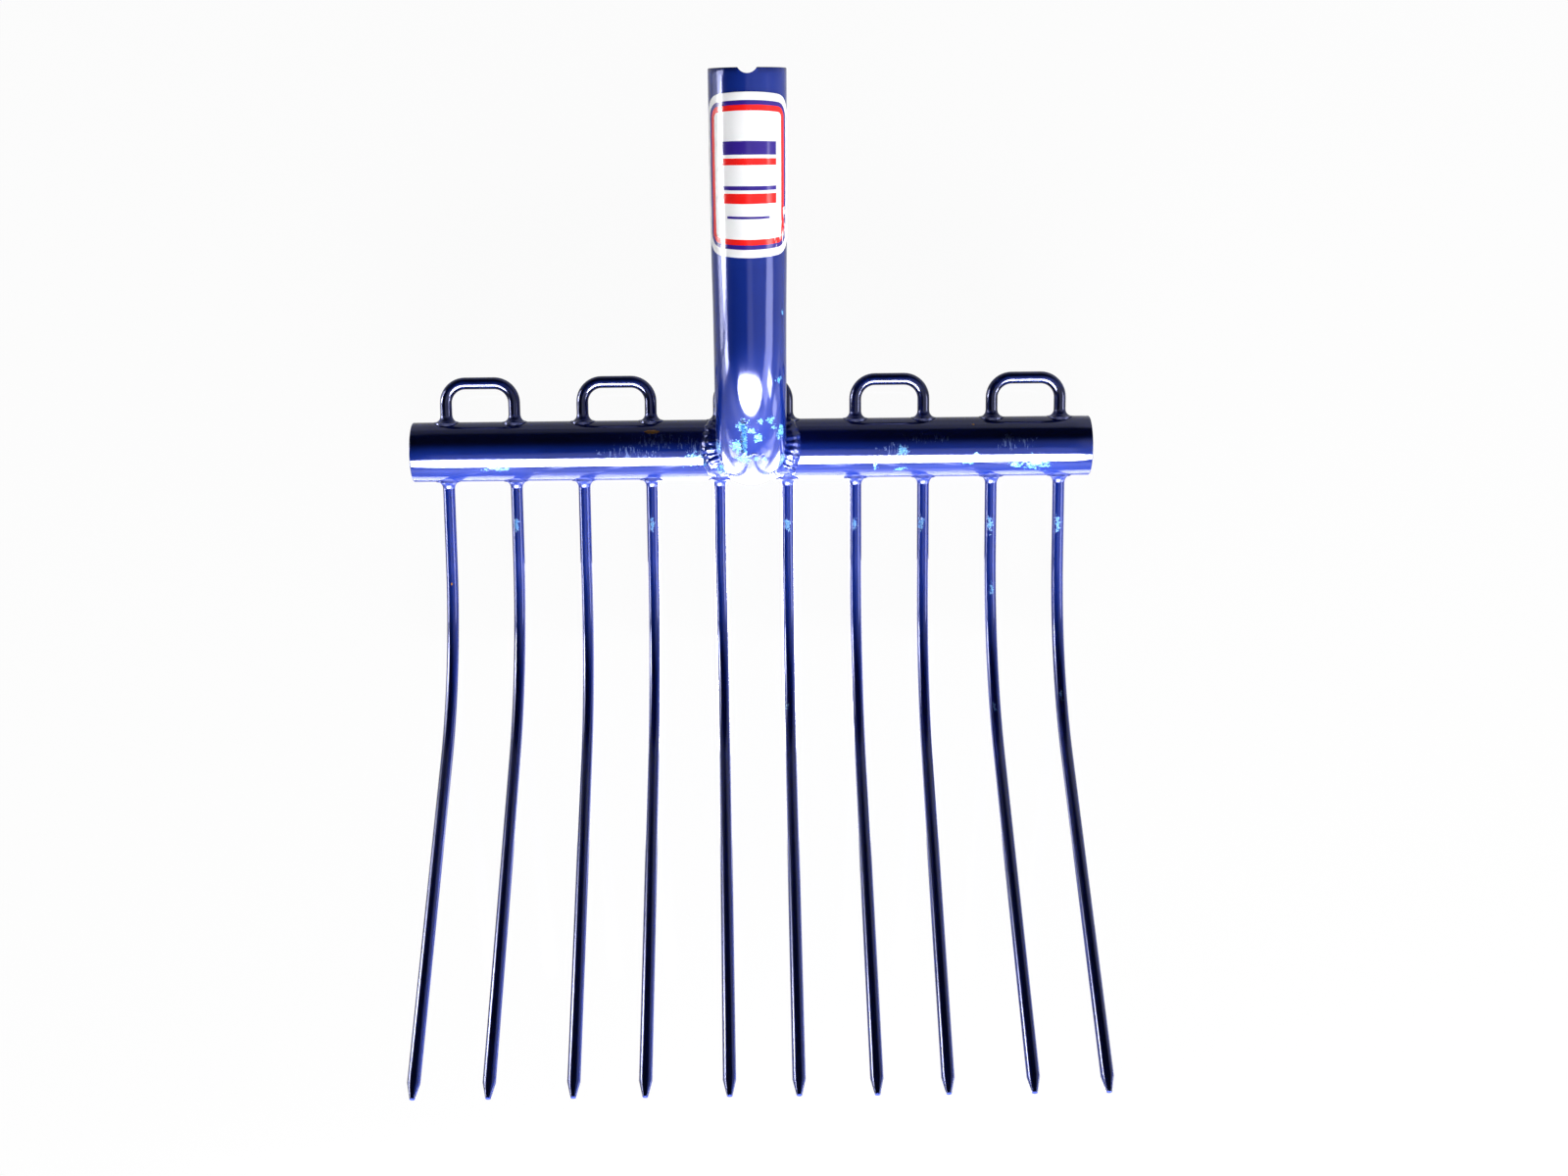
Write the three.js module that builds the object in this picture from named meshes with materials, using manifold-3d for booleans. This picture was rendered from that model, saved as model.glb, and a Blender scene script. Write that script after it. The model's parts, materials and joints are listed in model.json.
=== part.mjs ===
// Shavings fork head, lying on its back as it lies on a floor. A round crossbar carries five rods, each
// bent in a U so that it gives two tines and the closed loop behind the bar. The handle's socket is a
// larger tube, bent through an elbow and saddled on the bar.
// Millimetres. +X runs along the crossbar, +Y from the points of the tines to the socket's mouth, and +Z
// up from the floor. The origin is under the middle of the whole head.

import * as THREE from 'three';
import Module from 'manifold-3d';
import { mergeVertices } from 'three/addons/utils/BufferGeometryUtils.js';

// Fits between pieces that touch, and the overrun of every cut
const seatGap = 0.3;
const overrun = 6;

// Crossbar
const barDiameter = 31.75;
const barWall = 2;
const barLength = 361;
const barSides = 36;

// Plugs in the crossbar's ends
const plugDepth = 10;
const plugWall = 1.6;
const plugFace = 2;
const plugSides = 20;

// Rods: two tines and one loop each. The outer tines stand a set way in from the crossbar's ends, and
// the whole set of rods a little to the right of the crossbar's middle.
const barEndMargin = 16.9;
const rodSetOffset = 1.2;
const rodDiameter = 6.35;
const rodSides = 12;
const rodCount = 5;
const rodLean = THREE.MathUtils.degToRad(10);
const bendRadius = 130;
const tineRise = THREE.MathUtils.degToRad(38);
const bendSteps = 11;
const lowerTineLength = 189.5;
const pointLength = 8;
const pointDiameter = 2.6;
const loopReach = 36.5;
const loopCornerRadius = 10.5;
const cornerSteps = 5;
// How far each point stands aside of its even place, as a share of the pitch, from the left tine on
const pointDriftShares = [0, -0.02, 0.08, 0.01, 0.1, 0, 0.01, -0.07, 0.04, 0];

// Welds between rods and crossbar
const rodWeldWidth = 1.5;
const rodWeldHeight = 3.2;
const rodWeldLip = 0.5;
const rodWeldFoot = 2;
const rodWeldSteps = 2;
const rodWeldSides = 12;

// Handle socket
const socketDiameter = 38.1;
const socketWall = 2;
const socketSides = 28;
const socketLean = THREE.MathUtils.degToRad(13);
const socketStraight = 133;
const socketStraightSteps = 4;
const elbowRadius = 60;
const elbowSteps = 10;
const elbowHeight = 17.8;
const skirtHeight = 3.5;
// The elbow draws the tube in: its width, as a share of the plain tube's, at shares of the whole length
const drawShares = [
  [0, 1], [0.2, 0.995], [0.4, 0.974], [0.5, 0.955],
  [0.6, 0.946], [0.8, 0.95], [0.92, 0.975], [1, 1],
];

// Half-round notches in the socket's rim
const notchDiameter = 10.5;
const notchCentreBeyondRim = 2.5;
const notchSides = 20;

// Weld bead round the socket's saddle
const beadSideRadius = 5.2;
const beadSideStep = 1.3;
const beadSkirtRadius = 3.2;
const beadSides = 10;
const beadSteps = 44;

// Label on the socket
const labelLength = 78;
const labelWidth = 55;
const labelCorner = 11;
const labelThickness = 0.3;
const labelFromRim = 11.3;
const labelCornerSteps = 4;
const labelBodySteps = 3;
const labelAcrossSteps = 14;

// Worked out from the sizes above
const barRadius = barDiameter / 2;
const rodRadius = rodDiameter / 2;
const socketRadius = socketDiameter / 2;
const tineCount = rodCount * 2;
const tinePitch = (barLength - barEndMargin * 2) / (tineCount - 1);
const rodWeldRadius = rodRadius + rodWeldWidth;
// The tines' bends and the crossbar touch the same floor, which sets where each bend starts
const bendStart = (barRadius - rodRadius - bendRadius * (1 - Math.cos(rodLean))) / Math.sin(rodLean);
const elbowTurn = Math.PI / 2 - socketLean;
const elbowLength = elbowRadius * elbowTurn;
const socketStem = elbowHeight - skirtHeight;
const socketLength = socketStraight + elbowLength + socketStem;

const navyCoat = new THREE.MeshStandardMaterial({ color: '#16205f', roughness: 0.22, metalness: 0.1 });
const weldCoat = new THREE.MeshStandardMaterial({ color: '#1b2768', roughness: 0.3, metalness: 0.1 });
const plugPlastic = new THREE.MeshStandardMaterial({ color: '#0b1030', roughness: 0.5, metalness: 0 });
const labelFilm = new THREE.MeshStandardMaterial({ color: '#f1f0f2', roughness: 0.3, metalness: 0 });

const wasm = await Module();
wasm.setup();

// Geometry to solid and back

function solidOf(geometry) {
  const bare = geometry.clone();
  bare.deleteAttribute('normal');
  bare.deleteAttribute('uv');
  const merged = mergeVertices(bare);
  const corners = merged.index.array;
  const triangles = [];
  for (let first = 0; first < corners.length; first += 3) {
    const [a, b, c] = corners.slice(first, first + 3);
    if (a !== b && b !== c && c !== a) {
      triangles.push(a, b, c);
    }
  }
  const mesh = new wasm.Mesh({
    numProp: 3,
    vertProperties: new Float32Array(merged.attributes.position.array),
    triVerts: new Uint32Array(triangles),
  });
  return new wasm.Manifold(mesh);
}

function geometryOf(solid) {
  const mesh = solid.getMesh();
  const geometry = new THREE.BufferGeometry();
  geometry.setAttribute('position', new THREE.BufferAttribute(mesh.vertProperties, 3));
  geometry.setIndex(new THREE.BufferAttribute(mesh.triVerts, 1));
  geometry.computeVertexNormals();
  return geometry;
}

// A closed skin through rings that have the same even number of points. A row that isn't joined into a
// loop is closed by a flat face at each end.
function loft(rings, joined = false) {
  const sides = rings[0].length;
  const corners = [];
  const spans = joined ? rings.length : rings.length - 1;
  for (let ring = 0; ring < spans; ring++) {
    const here = ring * sides;
    const there = ((ring + 1) % rings.length) * sides;
    for (let side = 0; side < sides; side++) {
      const turn = (side + 1) % sides;
      corners.push(here + side, here + turn, there + turn, here + side, there + turn, there + side);
    }
  }
  if (!joined) {
    const last = (rings.length - 1) * sides;
    for (let side = 0; side < sides / 2 - 1; side++) {
      const back = sides - 1 - side;
      corners.push(side, back - 1, side + 1, side, back, back - 1);
      corners.push(last + side, last + side + 1, last + back - 1, last + side, last + back - 1, last + back);
    }
  }
  const geometry = new THREE.BufferGeometry();
  const places = rings.flat().flatMap((point) => point.toArray());
  geometry.setAttribute('position', new THREE.Float32BufferAttribute(places, 3));
  geometry.setIndex(corners);
  geometry.computeVertexNormals();
  return geometry;
}

// An oval ring of points round a centre, turning from one half-axis to the other
function ovalRing(centre, halfAxisA, halfAxisB, sides) {
  const ring = [];
  for (let side = 0; side < sides; side++) {
    const angle = (side / sides) * Math.PI * 2;
    const point = centre.clone();
    point.addScaledVector(halfAxisA, Math.cos(angle));
    point.addScaledVector(halfAxisB, Math.sin(angle));
    ring.push(point);
  }
  return ring;
}

// A round cutter along a direction, its middle at the origin
function roundCutter(radius, length, direction, sides) {
  const geometry = new THREE.CylinderGeometry(radius, radius, length, sides);
  geometry.applyQuaternion(new THREE.Quaternion().setFromUnitVectors(new THREE.Vector3(0, 1, 0), direction));
  return geometry;
}

const alongX = new THREE.Vector3(1, 0, 0);
const alongRod = new THREE.Vector3(0, Math.cos(rodLean), Math.sin(rodLean));
const barEnvelope = solidOf(roundCutter(barRadius + seatGap, barLength, alongX, barSides));

function tinePlace(tine) {
  return (tine - (tineCount - 1) / 2) * tinePitch + rodSetOffset;
}

// Crossbar: a round tube with a hole through both walls for each leg of a rod

function crossbarTube() {
  const bore = barRadius - barWall;
  const profile = [
    new THREE.Vector2(bore, -barLength / 2),
    new THREE.Vector2(barRadius, -barLength / 2),
    new THREE.Vector2(barRadius, barLength / 2),
    new THREE.Vector2(bore, barLength / 2),
    new THREE.Vector2(bore, -barLength / 2),
  ];
  const tube = new THREE.LatheGeometry(profile, barSides);
  tube.rotateZ(-Math.PI / 2);
  let solid = solidOf(tube);
  for (let tine = 0; tine < tineCount; tine++) {
    const hole = roundCutter(rodRadius + seatGap, barDiameter + overrun, alongRod, rodWeldSides);
    hole.translate(tinePlace(tine), 0, 0);
    solid = solid.subtract(solidOf(hole));
  }
  return geometryOf(solid);
}

// Plug: a shallow cup pushed into the tube's end, its face flush with the end. Made on the Y axis.

function crossbarPlug() {
  const radius = barRadius - barWall - seatGap;
  const profile = [
    new THREE.Vector2(0, -plugFace),
    new THREE.Vector2(radius - plugWall, -plugFace),
    new THREE.Vector2(radius - plugWall, -plugDepth),
    new THREE.Vector2(radius, -plugDepth),
    new THREE.Vector2(radius, 0),
    new THREE.Vector2(0, 0),
  ];
  return geometryOf(solidOf(new THREE.LatheGeometry(profile, plugSides)));
}

// One leg of a rod, from its point to the start of the loop's corner, in the YZ plane through the leg.
// Each station has a place, a radius and how much of the point's drift aside it carries.

function legStations() {
  const stations = [];
  const heading = new THREE.Vector3(0, -Math.cos(tineRise), Math.sin(tineRise));
  const bendCentre = alongRod.clone().multiplyScalar(-bendStart);
  bendCentre.add(new THREE.Vector3(0, -Math.sin(rodLean), Math.cos(rodLean)).multiplyScalar(bendRadius));
  const bendLength = bendRadius * (rodLean + tineRise);
  const driftLength = bendLength + lowerTineLength;
  const bendEnd = new THREE.Vector3(0, -Math.sin(tineRise), -Math.cos(tineRise)).multiplyScalar(bendRadius);
  bendEnd.add(bendCentre);
  const point = bendEnd.clone().addScaledVector(heading, lowerTineLength);
  const shoulder = point.clone().addScaledVector(heading, -pointLength);
  stations.push({ place: point, radius: pointDiameter / 2, drift: 1 });
  stations.push({ place: shoulder, radius: rodRadius, drift: 1 - pointLength / driftLength });
  for (let step = 0; step <= bendSteps; step++) {
    const angle = tineRise - (step / bendSteps) * (tineRise + rodLean);
    const place = new THREE.Vector3(0, -Math.sin(angle), -Math.cos(angle)).multiplyScalar(bendRadius);
    place.add(bendCentre);
    stations.push({ place, radius: rodRadius, drift: (1 - step / bendSteps) * (bendLength / driftLength) });
  }
  return stations;
}

// The loop from one leg's centre to the next, in the plane of the rod's straight part

function loopStations() {
  const stations = [];
  const cornerStart = loopReach - loopCornerRadius;
  const cornerX = tinePitch / 2 - loopCornerRadius;
  for (const side of [-1, 1]) {
    for (let step = 0; step <= cornerSteps; step++) {
      const share = side < 0 ? step / cornerSteps : 1 - step / cornerSteps;
      const angle = share * (Math.PI / 2);
      const place = new THREE.Vector3(side * (cornerX + loopCornerRadius * Math.cos(angle)), 0, 0);
      place.addScaledVector(alongRod, cornerStart + loopCornerRadius * Math.sin(angle));
      stations.push({ place, radius: rodRadius });
    }
  }
  return stations;
}

// A rod along its stations, its rings carried from one to the next without twist

function tinePair(pair) {
  const leg = legStations();
  const legOf = (tine, side) => leg.map(({ place, radius, drift }) => ({
    place: place.clone().setX((side * tinePitch) / 2 + pointDriftShares[tine] * tinePitch * drift),
    radius,
  }));
  const left = legOf(pair * 2, -1);
  const right = legOf(pair * 2 + 1, 1).reverse();
  const stations = [...left, ...loopStations(), ...right];
  const rings = [];
  const normal = new THREE.Vector3(0, 0, -1);
  stations.forEach(({ place, radius }, index) => {
    const before = stations[Math.max(index - 1, 0)].place;
    const after = stations[Math.min(index + 1, stations.length - 1)].place;
    const into = place.clone().sub(before).normalize();
    const onward = after.clone().sub(place).normalize();
    const tangent = into.add(onward).normalize();
    normal.addScaledVector(tangent, -normal.dot(tangent)).normalize();
    const binormal = new THREE.Vector3().crossVectors(tangent, normal);
    const halfAxisA = normal.clone().multiplyScalar(radius);
    rings.push(ovalRing(place, halfAxisA, binormal.multiplyScalar(radius), rodSides));
  });
  return loft(rings);
}

// Weld round a rod where it meets the crossbar: a rounded collar, saddled on the bar. Made for a rod
// through the bar's middle, on the side that the sign names.

function rodWeld(sign) {
  const inner = rodRadius + seatGap;
  const foot = barRadius - rodWeldFoot;
  const crown = barRadius + rodWeldHeight;
  const rise = rodWeldHeight - rodWeldLip;
  const profile = [new THREE.Vector2(inner, foot), new THREE.Vector2(rodWeldRadius, foot)];
  for (let step = 0; step <= rodWeldSteps; step++) {
    const angle = (step / rodWeldSteps) * (Math.PI / 2);
    const reach = (rodWeldWidth - rodWeldLip) * (1 - Math.cos(angle));
    profile.push(new THREE.Vector2(rodWeldRadius - reach, crown - rise + rise * Math.sin(angle)));
  }
  profile.push(new THREE.Vector2(inner, crown), new THREE.Vector2(inner, foot));
  const collar = new THREE.LatheGeometry(profile, rodWeldSides);
  const direction = alongRod.clone().multiplyScalar(sign);
  collar.applyQuaternion(new THREE.Quaternion().setFromUnitVectors(new THREE.Vector3(0, 1, 0), direction));
  return geometryOf(solidOf(collar).subtract(barEnvelope));
}

// Handle socket. Its centreline is told by the distance from the rim: a leaning straight, the elbow, and
// a short stem that stands on the crossbar.

const rimCentre = new THREE.Vector3(0, 0, elbowHeight);
rimCentre.y += elbowRadius * (1 - Math.cos(elbowTurn)) + socketStraight * Math.cos(socketLean);
rimCentre.z += elbowRadius * Math.sin(elbowTurn) + socketStraight * Math.sin(socketLean);

function drawnShare(distance) {
  const share = THREE.MathUtils.clamp(distance / socketLength, 0, 1);
  const next = Math.max(1, drawShares.findIndex(([at]) => at >= share));
  const [atA, widthA] = drawShares[next - 1];
  const [atB, widthB] = drawShares[next];
  return THREE.MathUtils.mapLinear(share, atA, atB, widthA, widthB);
}

// The centre and the two half-axes of the tube's section, for a skin that lies outside the tube's own
// surface by the given offset
function socketSection(distance, offset) {
  const centre = new THREE.Vector3();
  let lean = socketLean;
  if (distance <= socketStraight) {
    centre.copy(rimCentre);
    centre.y -= distance * Math.cos(socketLean);
    centre.z -= distance * Math.sin(socketLean);
  } else {
    const turned = Math.min((distance - socketStraight) / elbowRadius, elbowTurn);
    lean = socketLean + turned;
    centre.set(0, elbowRadius * (1 - Math.sin(lean)), elbowHeight + elbowRadius * Math.cos(lean));
    centre.z -= Math.max(distance - socketStraight - elbowLength, 0);
  }
  const width = drawnShare(distance);
  const across = alongX.clone().multiplyScalar(socketRadius * width + offset);
  const upward = new THREE.Vector3(0, -Math.sin(lean), Math.cos(lean));
  upward.multiplyScalar(socketRadius * (2 - width) + offset);
  return { centre, across, upward };
}

function socketSkin(offset, beyond) {
  const distances = [-beyond];
  for (let step = 1; step < socketStraightSteps; step++) {
    distances.push((step / socketStraightSteps) * socketStraight);
  }
  for (let step = 0; step <= elbowSteps; step++) {
    distances.push(socketStraight + (step / elbowSteps) * elbowLength);
  }
  distances.push(socketLength + beyond);
  const rings = distances.map((distance) => {
    const { centre, across, upward } = socketSection(distance, offset);
    return ovalRing(centre, across, upward, socketSides);
  });
  return solidOf(loft(rings));
}

function socketNeck() {
  const bore = socketSkin(-socketWall, overrun);
  const square = new THREE.Vector3(0, -Math.sin(socketLean), Math.cos(socketLean));
  const notch = roundCutter(notchDiameter / 2, socketDiameter + overrun, square, notchSides);
  const beyond = new THREE.Vector3(0, Math.cos(socketLean), Math.sin(socketLean));
  beyond.multiplyScalar(notchCentreBeyondRim).add(rimCentre);
  notch.translate(beyond.x, beyond.y, beyond.z);
  const tube = socketSkin(0, 0).subtract(bore).subtract(solidOf(notch));
  return geometryOf(tube.subtract(barEnvelope));
}

// Weld bead round the saddle. It follows the line where the socket meets the bar, and runs under the
// edge of the socket's skirt in front of and behind the bar.

function neckWeld() {
  const rings = [];
  const skirtFrom = Math.sqrt(barRadius ** 2 - skirtHeight ** 2);
  for (let step = 0; step < beadSteps; step++) {
    const angle = (step / beadSteps) * Math.PI * 2;
    const across = socketRadius * Math.abs(Math.sin(angle));
    const onBar = across < skirtFrom ? Math.sqrt(barRadius ** 2 - across ** 2) : skirtHeight;
    const share = THREE.MathUtils.smoothstep(onBar, skirtHeight, barRadius);
    const radius = THREE.MathUtils.lerp(beadSkirtRadius, beadSideRadius, share);
    const reach = THREE.MathUtils.lerp(socketRadius - seatGap, socketRadius + beadSideStep, share);
    const lift = THREE.MathUtils.lerp(-seatGap, beadSideStep, share);
    const outward = new THREE.Vector3(Math.cos(angle), Math.sin(angle), 0);
    const centre = outward.clone().multiplyScalar(reach);
    centre.z = onBar + lift;
    const upward = new THREE.Vector3(0, 0, radius);
    rings.push(ovalRing(centre, outward.multiplyScalar(radius), upward, beadSides));
  }
  const bead = solidOf(loft(rings.reverse(), true));
  let solid = bead.subtract(socketSkin(seatGap, seatGap)).subtract(barEnvelope);
  for (const tine of [rodCount - 1, rodCount]) {
    const clear = roundCutter(rodWeldRadius + seatGap, barDiameter * 2, alongRod, rodWeldSides);
    clear.translate(tinePlace(tine), 0, 0);
    solid = solid.subtract(solidOf(clear));
  }
  return geometryOf(solid);
}

// Label: a thin sheet with round corners, bent round the upper side of the socket

function socketLabel() {
  const rows = [];
  for (let step = 0; step <= labelCornerSteps; step++) {
    const angle = (step / labelCornerSteps) * (Math.PI / 2);
    rows.push({ along: labelCorner * (1 - Math.cos(angle)), inset: labelCorner * (1 - Math.sin(angle)) });
  }
  const bodyLength = labelLength - labelCorner * 2;
  for (let step = 1; step < labelBodySteps; step++) {
    rows.push({ along: labelCorner + (step / labelBodySteps) * bodyLength, inset: 0 });
  }
  for (let step = labelCornerSteps; step >= 0; step--) {
    rows.push({ along: labelLength - rows[step].along, inset: rows[step].inset });
  }
  const rings = rows.map(({ along, inset }) => {
    const halfAngle = (labelWidth / 2 - inset) / socketRadius;
    const arc = (offset, direction) => {
      const { centre, across, upward } = socketSection(labelFromRim + along, offset);
      const points = [];
      for (let step = 0; step <= labelAcrossSteps; step++) {
        const angle = direction * halfAngle * ((2 * step) / labelAcrossSteps - 1);
        const point = centre.clone().addScaledVector(across, Math.sin(angle));
        points.push(point.addScaledVector(upward, Math.cos(angle)));
      }
      return points;
    };
    return [...arc(seatGap + labelThickness, -1), ...arc(seatGap, 1)];
  });
  return geometryOf(solidOf(loft(rings)));
}

// Assembly

const fork = new THREE.Group();

function addPiece(name, geometry, material) {
  const mesh = new THREE.Mesh(geometry, material);
  mesh.name = name;
  fork.add(mesh);
  return mesh;
}

addPiece('crossbar_tube', crossbarTube(), navyCoat);
for (const [side, sign] of [['left', -1], ['right', 1]]) {
  const plug = addPiece(`crossbar_plug_${side}`, crossbarPlug(), plugPlastic);
  plug.position.x = (sign * barLength) / 2;
  plug.rotation.z = (-sign * Math.PI) / 2;
}
for (let pair = 0; pair < rodCount; pair++) {
  const rod = addPiece(`tine_pair_${pair + 1}`, tinePair(pair), navyCoat);
  rod.position.x = (tinePlace(pair * 2) + tinePlace(pair * 2 + 1)) / 2;
}
for (let tine = 0; tine < tineCount; tine++) {
  addPiece(`tine_weld_${tine + 1}`, rodWeld(-1), weldCoat).position.x = tinePlace(tine);
  addPiece(`loop_weld_${tine + 1}`, rodWeld(1), weldCoat).position.x = tinePlace(tine);
}
addPiece('socket_neck', socketNeck(), navyCoat);
addPiece('neck_weld', neckWeld(), weldCoat);
addPiece('socket_label', socketLabel(), labelFilm);

// The head stands on the floor with the middle of its box over the origin
const box = new THREE.Box3().setFromObject(fork);
const middle = box.getCenter(new THREE.Vector3());
fork.position.set(-middle.x, -middle.y, -box.min.z);

export default fork;
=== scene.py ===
"""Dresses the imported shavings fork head: a crossbar with bent rod tines and an elbowed handle socket.

Metres. +X runs along the crossbar, +Y from the points of the tines to the socket's mouth, +Z up.
"""

import json
import math
import random

import bmesh
import bpy
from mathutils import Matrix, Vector

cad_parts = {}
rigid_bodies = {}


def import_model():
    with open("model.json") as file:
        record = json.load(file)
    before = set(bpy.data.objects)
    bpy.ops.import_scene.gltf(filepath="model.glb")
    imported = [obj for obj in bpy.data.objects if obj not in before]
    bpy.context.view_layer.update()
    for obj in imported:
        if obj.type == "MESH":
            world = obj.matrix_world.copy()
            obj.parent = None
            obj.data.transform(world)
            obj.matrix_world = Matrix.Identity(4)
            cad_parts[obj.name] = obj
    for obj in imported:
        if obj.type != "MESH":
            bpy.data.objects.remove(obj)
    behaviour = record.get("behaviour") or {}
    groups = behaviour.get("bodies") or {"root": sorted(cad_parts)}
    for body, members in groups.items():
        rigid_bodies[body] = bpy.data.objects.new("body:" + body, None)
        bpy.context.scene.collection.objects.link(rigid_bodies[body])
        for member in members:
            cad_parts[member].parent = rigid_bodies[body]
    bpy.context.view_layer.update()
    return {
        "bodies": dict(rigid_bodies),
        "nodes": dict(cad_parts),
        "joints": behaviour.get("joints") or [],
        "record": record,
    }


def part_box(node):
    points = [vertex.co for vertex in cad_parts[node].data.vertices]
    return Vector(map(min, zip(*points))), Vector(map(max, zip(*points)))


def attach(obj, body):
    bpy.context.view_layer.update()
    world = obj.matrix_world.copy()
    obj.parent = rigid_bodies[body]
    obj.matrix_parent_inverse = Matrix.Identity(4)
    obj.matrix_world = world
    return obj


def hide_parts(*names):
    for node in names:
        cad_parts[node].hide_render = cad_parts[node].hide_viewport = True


bl_info = {
    "name": "Shavings fork head",
    "version": (1, 0, 0),
    "blender": (4, 5, 0),
    "location": "View3D > Sidebar > Fork head",
    "description": "Builds the welded head of a shavings fork round its packed frame",
    "category": "Add Mesh",
}

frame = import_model()

MM = 0.001
BODY = "root"

BAR_LOW, BAR_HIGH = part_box("crossbar_tube")
BAR_CENTRE = (BAR_LOW + BAR_HIGH) / 2
BAR_RADIUS = (BAR_HIGH.z - BAR_LOW.z) / 2
BAR_LENGTH = BAR_HIGH.x - BAR_LOW.x
TINE_COUNT = sum(name.startswith("tine_weld_") for name in frame["nodes"])
TINE_WELD_BOXES = [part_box(f"tine_weld_{tine + 1}") for tine in range(TINE_COUNT)]
TINE_X = [(low.x + high.x) / 2 for low, high in TINE_WELD_BOXES]
TINE_PITCH = (TINE_X[-1] - TINE_X[0]) / (TINE_COUNT - 1)
ROD_COUNT = TINE_COUNT // 2

ACROSS = Vector((1, 0, 0))
UP = Vector((0, 0, 1))
QUARTER = math.pi / 2
SHARP = math.radians(50)

# Faces round the rings
CUTTER_SIDES = 128
PLUG_SIDES = 64
NOTCH_SIDES = 48
COLLAR_SIDES = 40
BEAD_SIDES = 18
SEAM_SIDES = 14
LIP_SIDES = 10

# Rings along the pieces
BEND_STEPS = 28
LOOP_CORNER_STEPS = 12
SOCKET_STEPS = 64
BEAD_STEPS = 160
LIP_STEPS = 14
SHEET_STRIPS = (36, 30)
SHEET_CORNER_STEPS = 10


def number(name, description, default, kind=bpy.props.FloatProperty, **more):
    """A value that the sidebar shows."""
    return kind(name=name, description=description, default=default, **more)


def length(name, description, default):
    return number(name, description, default, unit="LENGTH", precision=5)


def angle(name, description, degrees):
    return number(name, description, math.radians(degrees), subtype="ANGLE")


def colour(name, description, default):
    vector = bpy.props.FloatVectorProperty
    return number(name, description, default, vector, subtype="COLOR", size=3, min=0, max=1)


def share(name, description, default):
    """A share from none to all, or a plain strength."""
    return number(name, description, default, min=0)


def count(name, description, default):
    """A whole number of steps or sides."""
    return number(name, description, default, bpy.props.IntProperty, min=3)


class CrossbarSizes(bpy.types.PropertyGroup):
    wall: length("Wall", "Thickness of the tube's wall", 2 * MM)
    edge: length("Edge", "Rounding of the tube's cut ends", 0.5 * MM)
    sides: count("Sides", "Faces round the tube", 128)
    hole_gap: length("Hole gap", "Room round each rod in its hole", 0.1 * MM)
    plug_gap: length("Plug gap", "Room round each plug", 0.15 * MM)
    plug_depth: length("Plug depth", "How far a plug reaches in", 10 * MM)
    plug_wall: length("Plug wall", "Thickness of the plug's skirt", 1.6 * MM)
    plug_dish: length("Plug dish", "How deep the plug's face is dished", 0.8 * MM)


class RodSizes(bpy.types.PropertyGroup):
    diameter: length("Diameter", "Thickness of the round rod", 6.35 * MM)
    sides: count("Sides", "Faces round a rod", 28)
    lean: angle("Lean", "How far the straight part leans up from +Y", 10)
    bend_radius: length("Bend radius", "Radius of the tine's bend", 130 * MM)
    rise: angle("Rise", "How steeply the lower tine rises", 38)
    lower_length: length("Lower length", "Straight part of the tine with its point", 189.5 * MM)
    point_length: length("Point length", "Length of the ground point", 8 * MM)
    point_diameter: length("Point diameter", "Width of the point's blunt end", 2.6 * MM)
    loop_reach: length("Loop reach", "From the crossbar's axis to the loop's back", 36.5 * MM)
    loop_corner: length("Loop corner", "Radius of the loop's corners", 10.5 * MM)


class WeldSizes(bpy.types.PropertyGroup):
    fillet: length("Fillet", "Radius of the weld's hollow between rod and crossbar", 3.6 * MM)
    fillet_steps: count("Fillet steps", "Rings in the hollow", 7)
    seat: length("Seat", "How deep a weld bites into what carries it", 0.25 * MM)
    lump: length("Lump", "Height of the weld's unevenness", 0.35 * MM)
    lump_width: length("Lump width", "Width of the weld's unevenness", 3.2 * MM)
    bead_radius: length("Bead radius", "Half thickness of the saddle's bead at the sides", 6.0 * MM)
    bead_skirt_radius: length("Bead skirt radius", "Half thickness under the skirt", 1.9 * MM)
    bead_step: length("Bead step", "How far its middle stands off the saddle at the sides", 1.4 * MM)
    bead_tuck: length("Bead tuck", "How far the bead is tucked in under the skirt", 2.3 * MM)
    bead_grain: length("Bead grain", "Size of the faces of the bead", 0.45 * MM)
    seam_radius: length("Seam radius", "Half thickness of the seam on the elbow", 1.7 * MM)
    seam_ripple: length("Seam ripple", "Distance from one ripple of the seam to the next", 1.8 * MM)
    seam_aside: length("Seam aside", "How far left of the middle the seam lies", 3.5 * MM)
    seam_from: angle("Seam from", "Where on the elbow the seam starts", 39.5)
    seam_to: angle("Seam to", "Where on the elbow the seam ends", 57.5)
    lip_long: length("Lip length", "How far the lip runs right from the seam's foot", 10 * MM)


class SocketSizes(bpy.types.PropertyGroup):
    diameter: length("Diameter", "Outside of the tube", 38.1 * MM)
    wall: length("Wall", "Thickness of the tube's wall", 2 * MM)
    sides: count("Sides", "Faces round the tube", 112)
    lean: angle("Lean", "How far the straight leans up from +Y", 13)
    straight: length("Straight", "From the rim to the elbow", 133 * MM)
    elbow_radius: length("Elbow radius", "Radius of the elbow's middle line", 60 * MM)
    elbow_height: length("Elbow height", "Where the elbow ends, above the crossbar's axis", 17.8 * MM)
    skirt_height: length("Skirt height", "Where the skirt ends, above the crossbar's axis", 3.5 * MM)
    notch_diameter: length("Notch diameter", "Width of the rim's half-round notches", 10.5 * MM)
    notch_beyond: length("Notch beyond", "How far the notch's centre is past the rim", 2.5 * MM)
    edge: length("Edge", "Rounding of the rim", 0.35 * MM)


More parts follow.
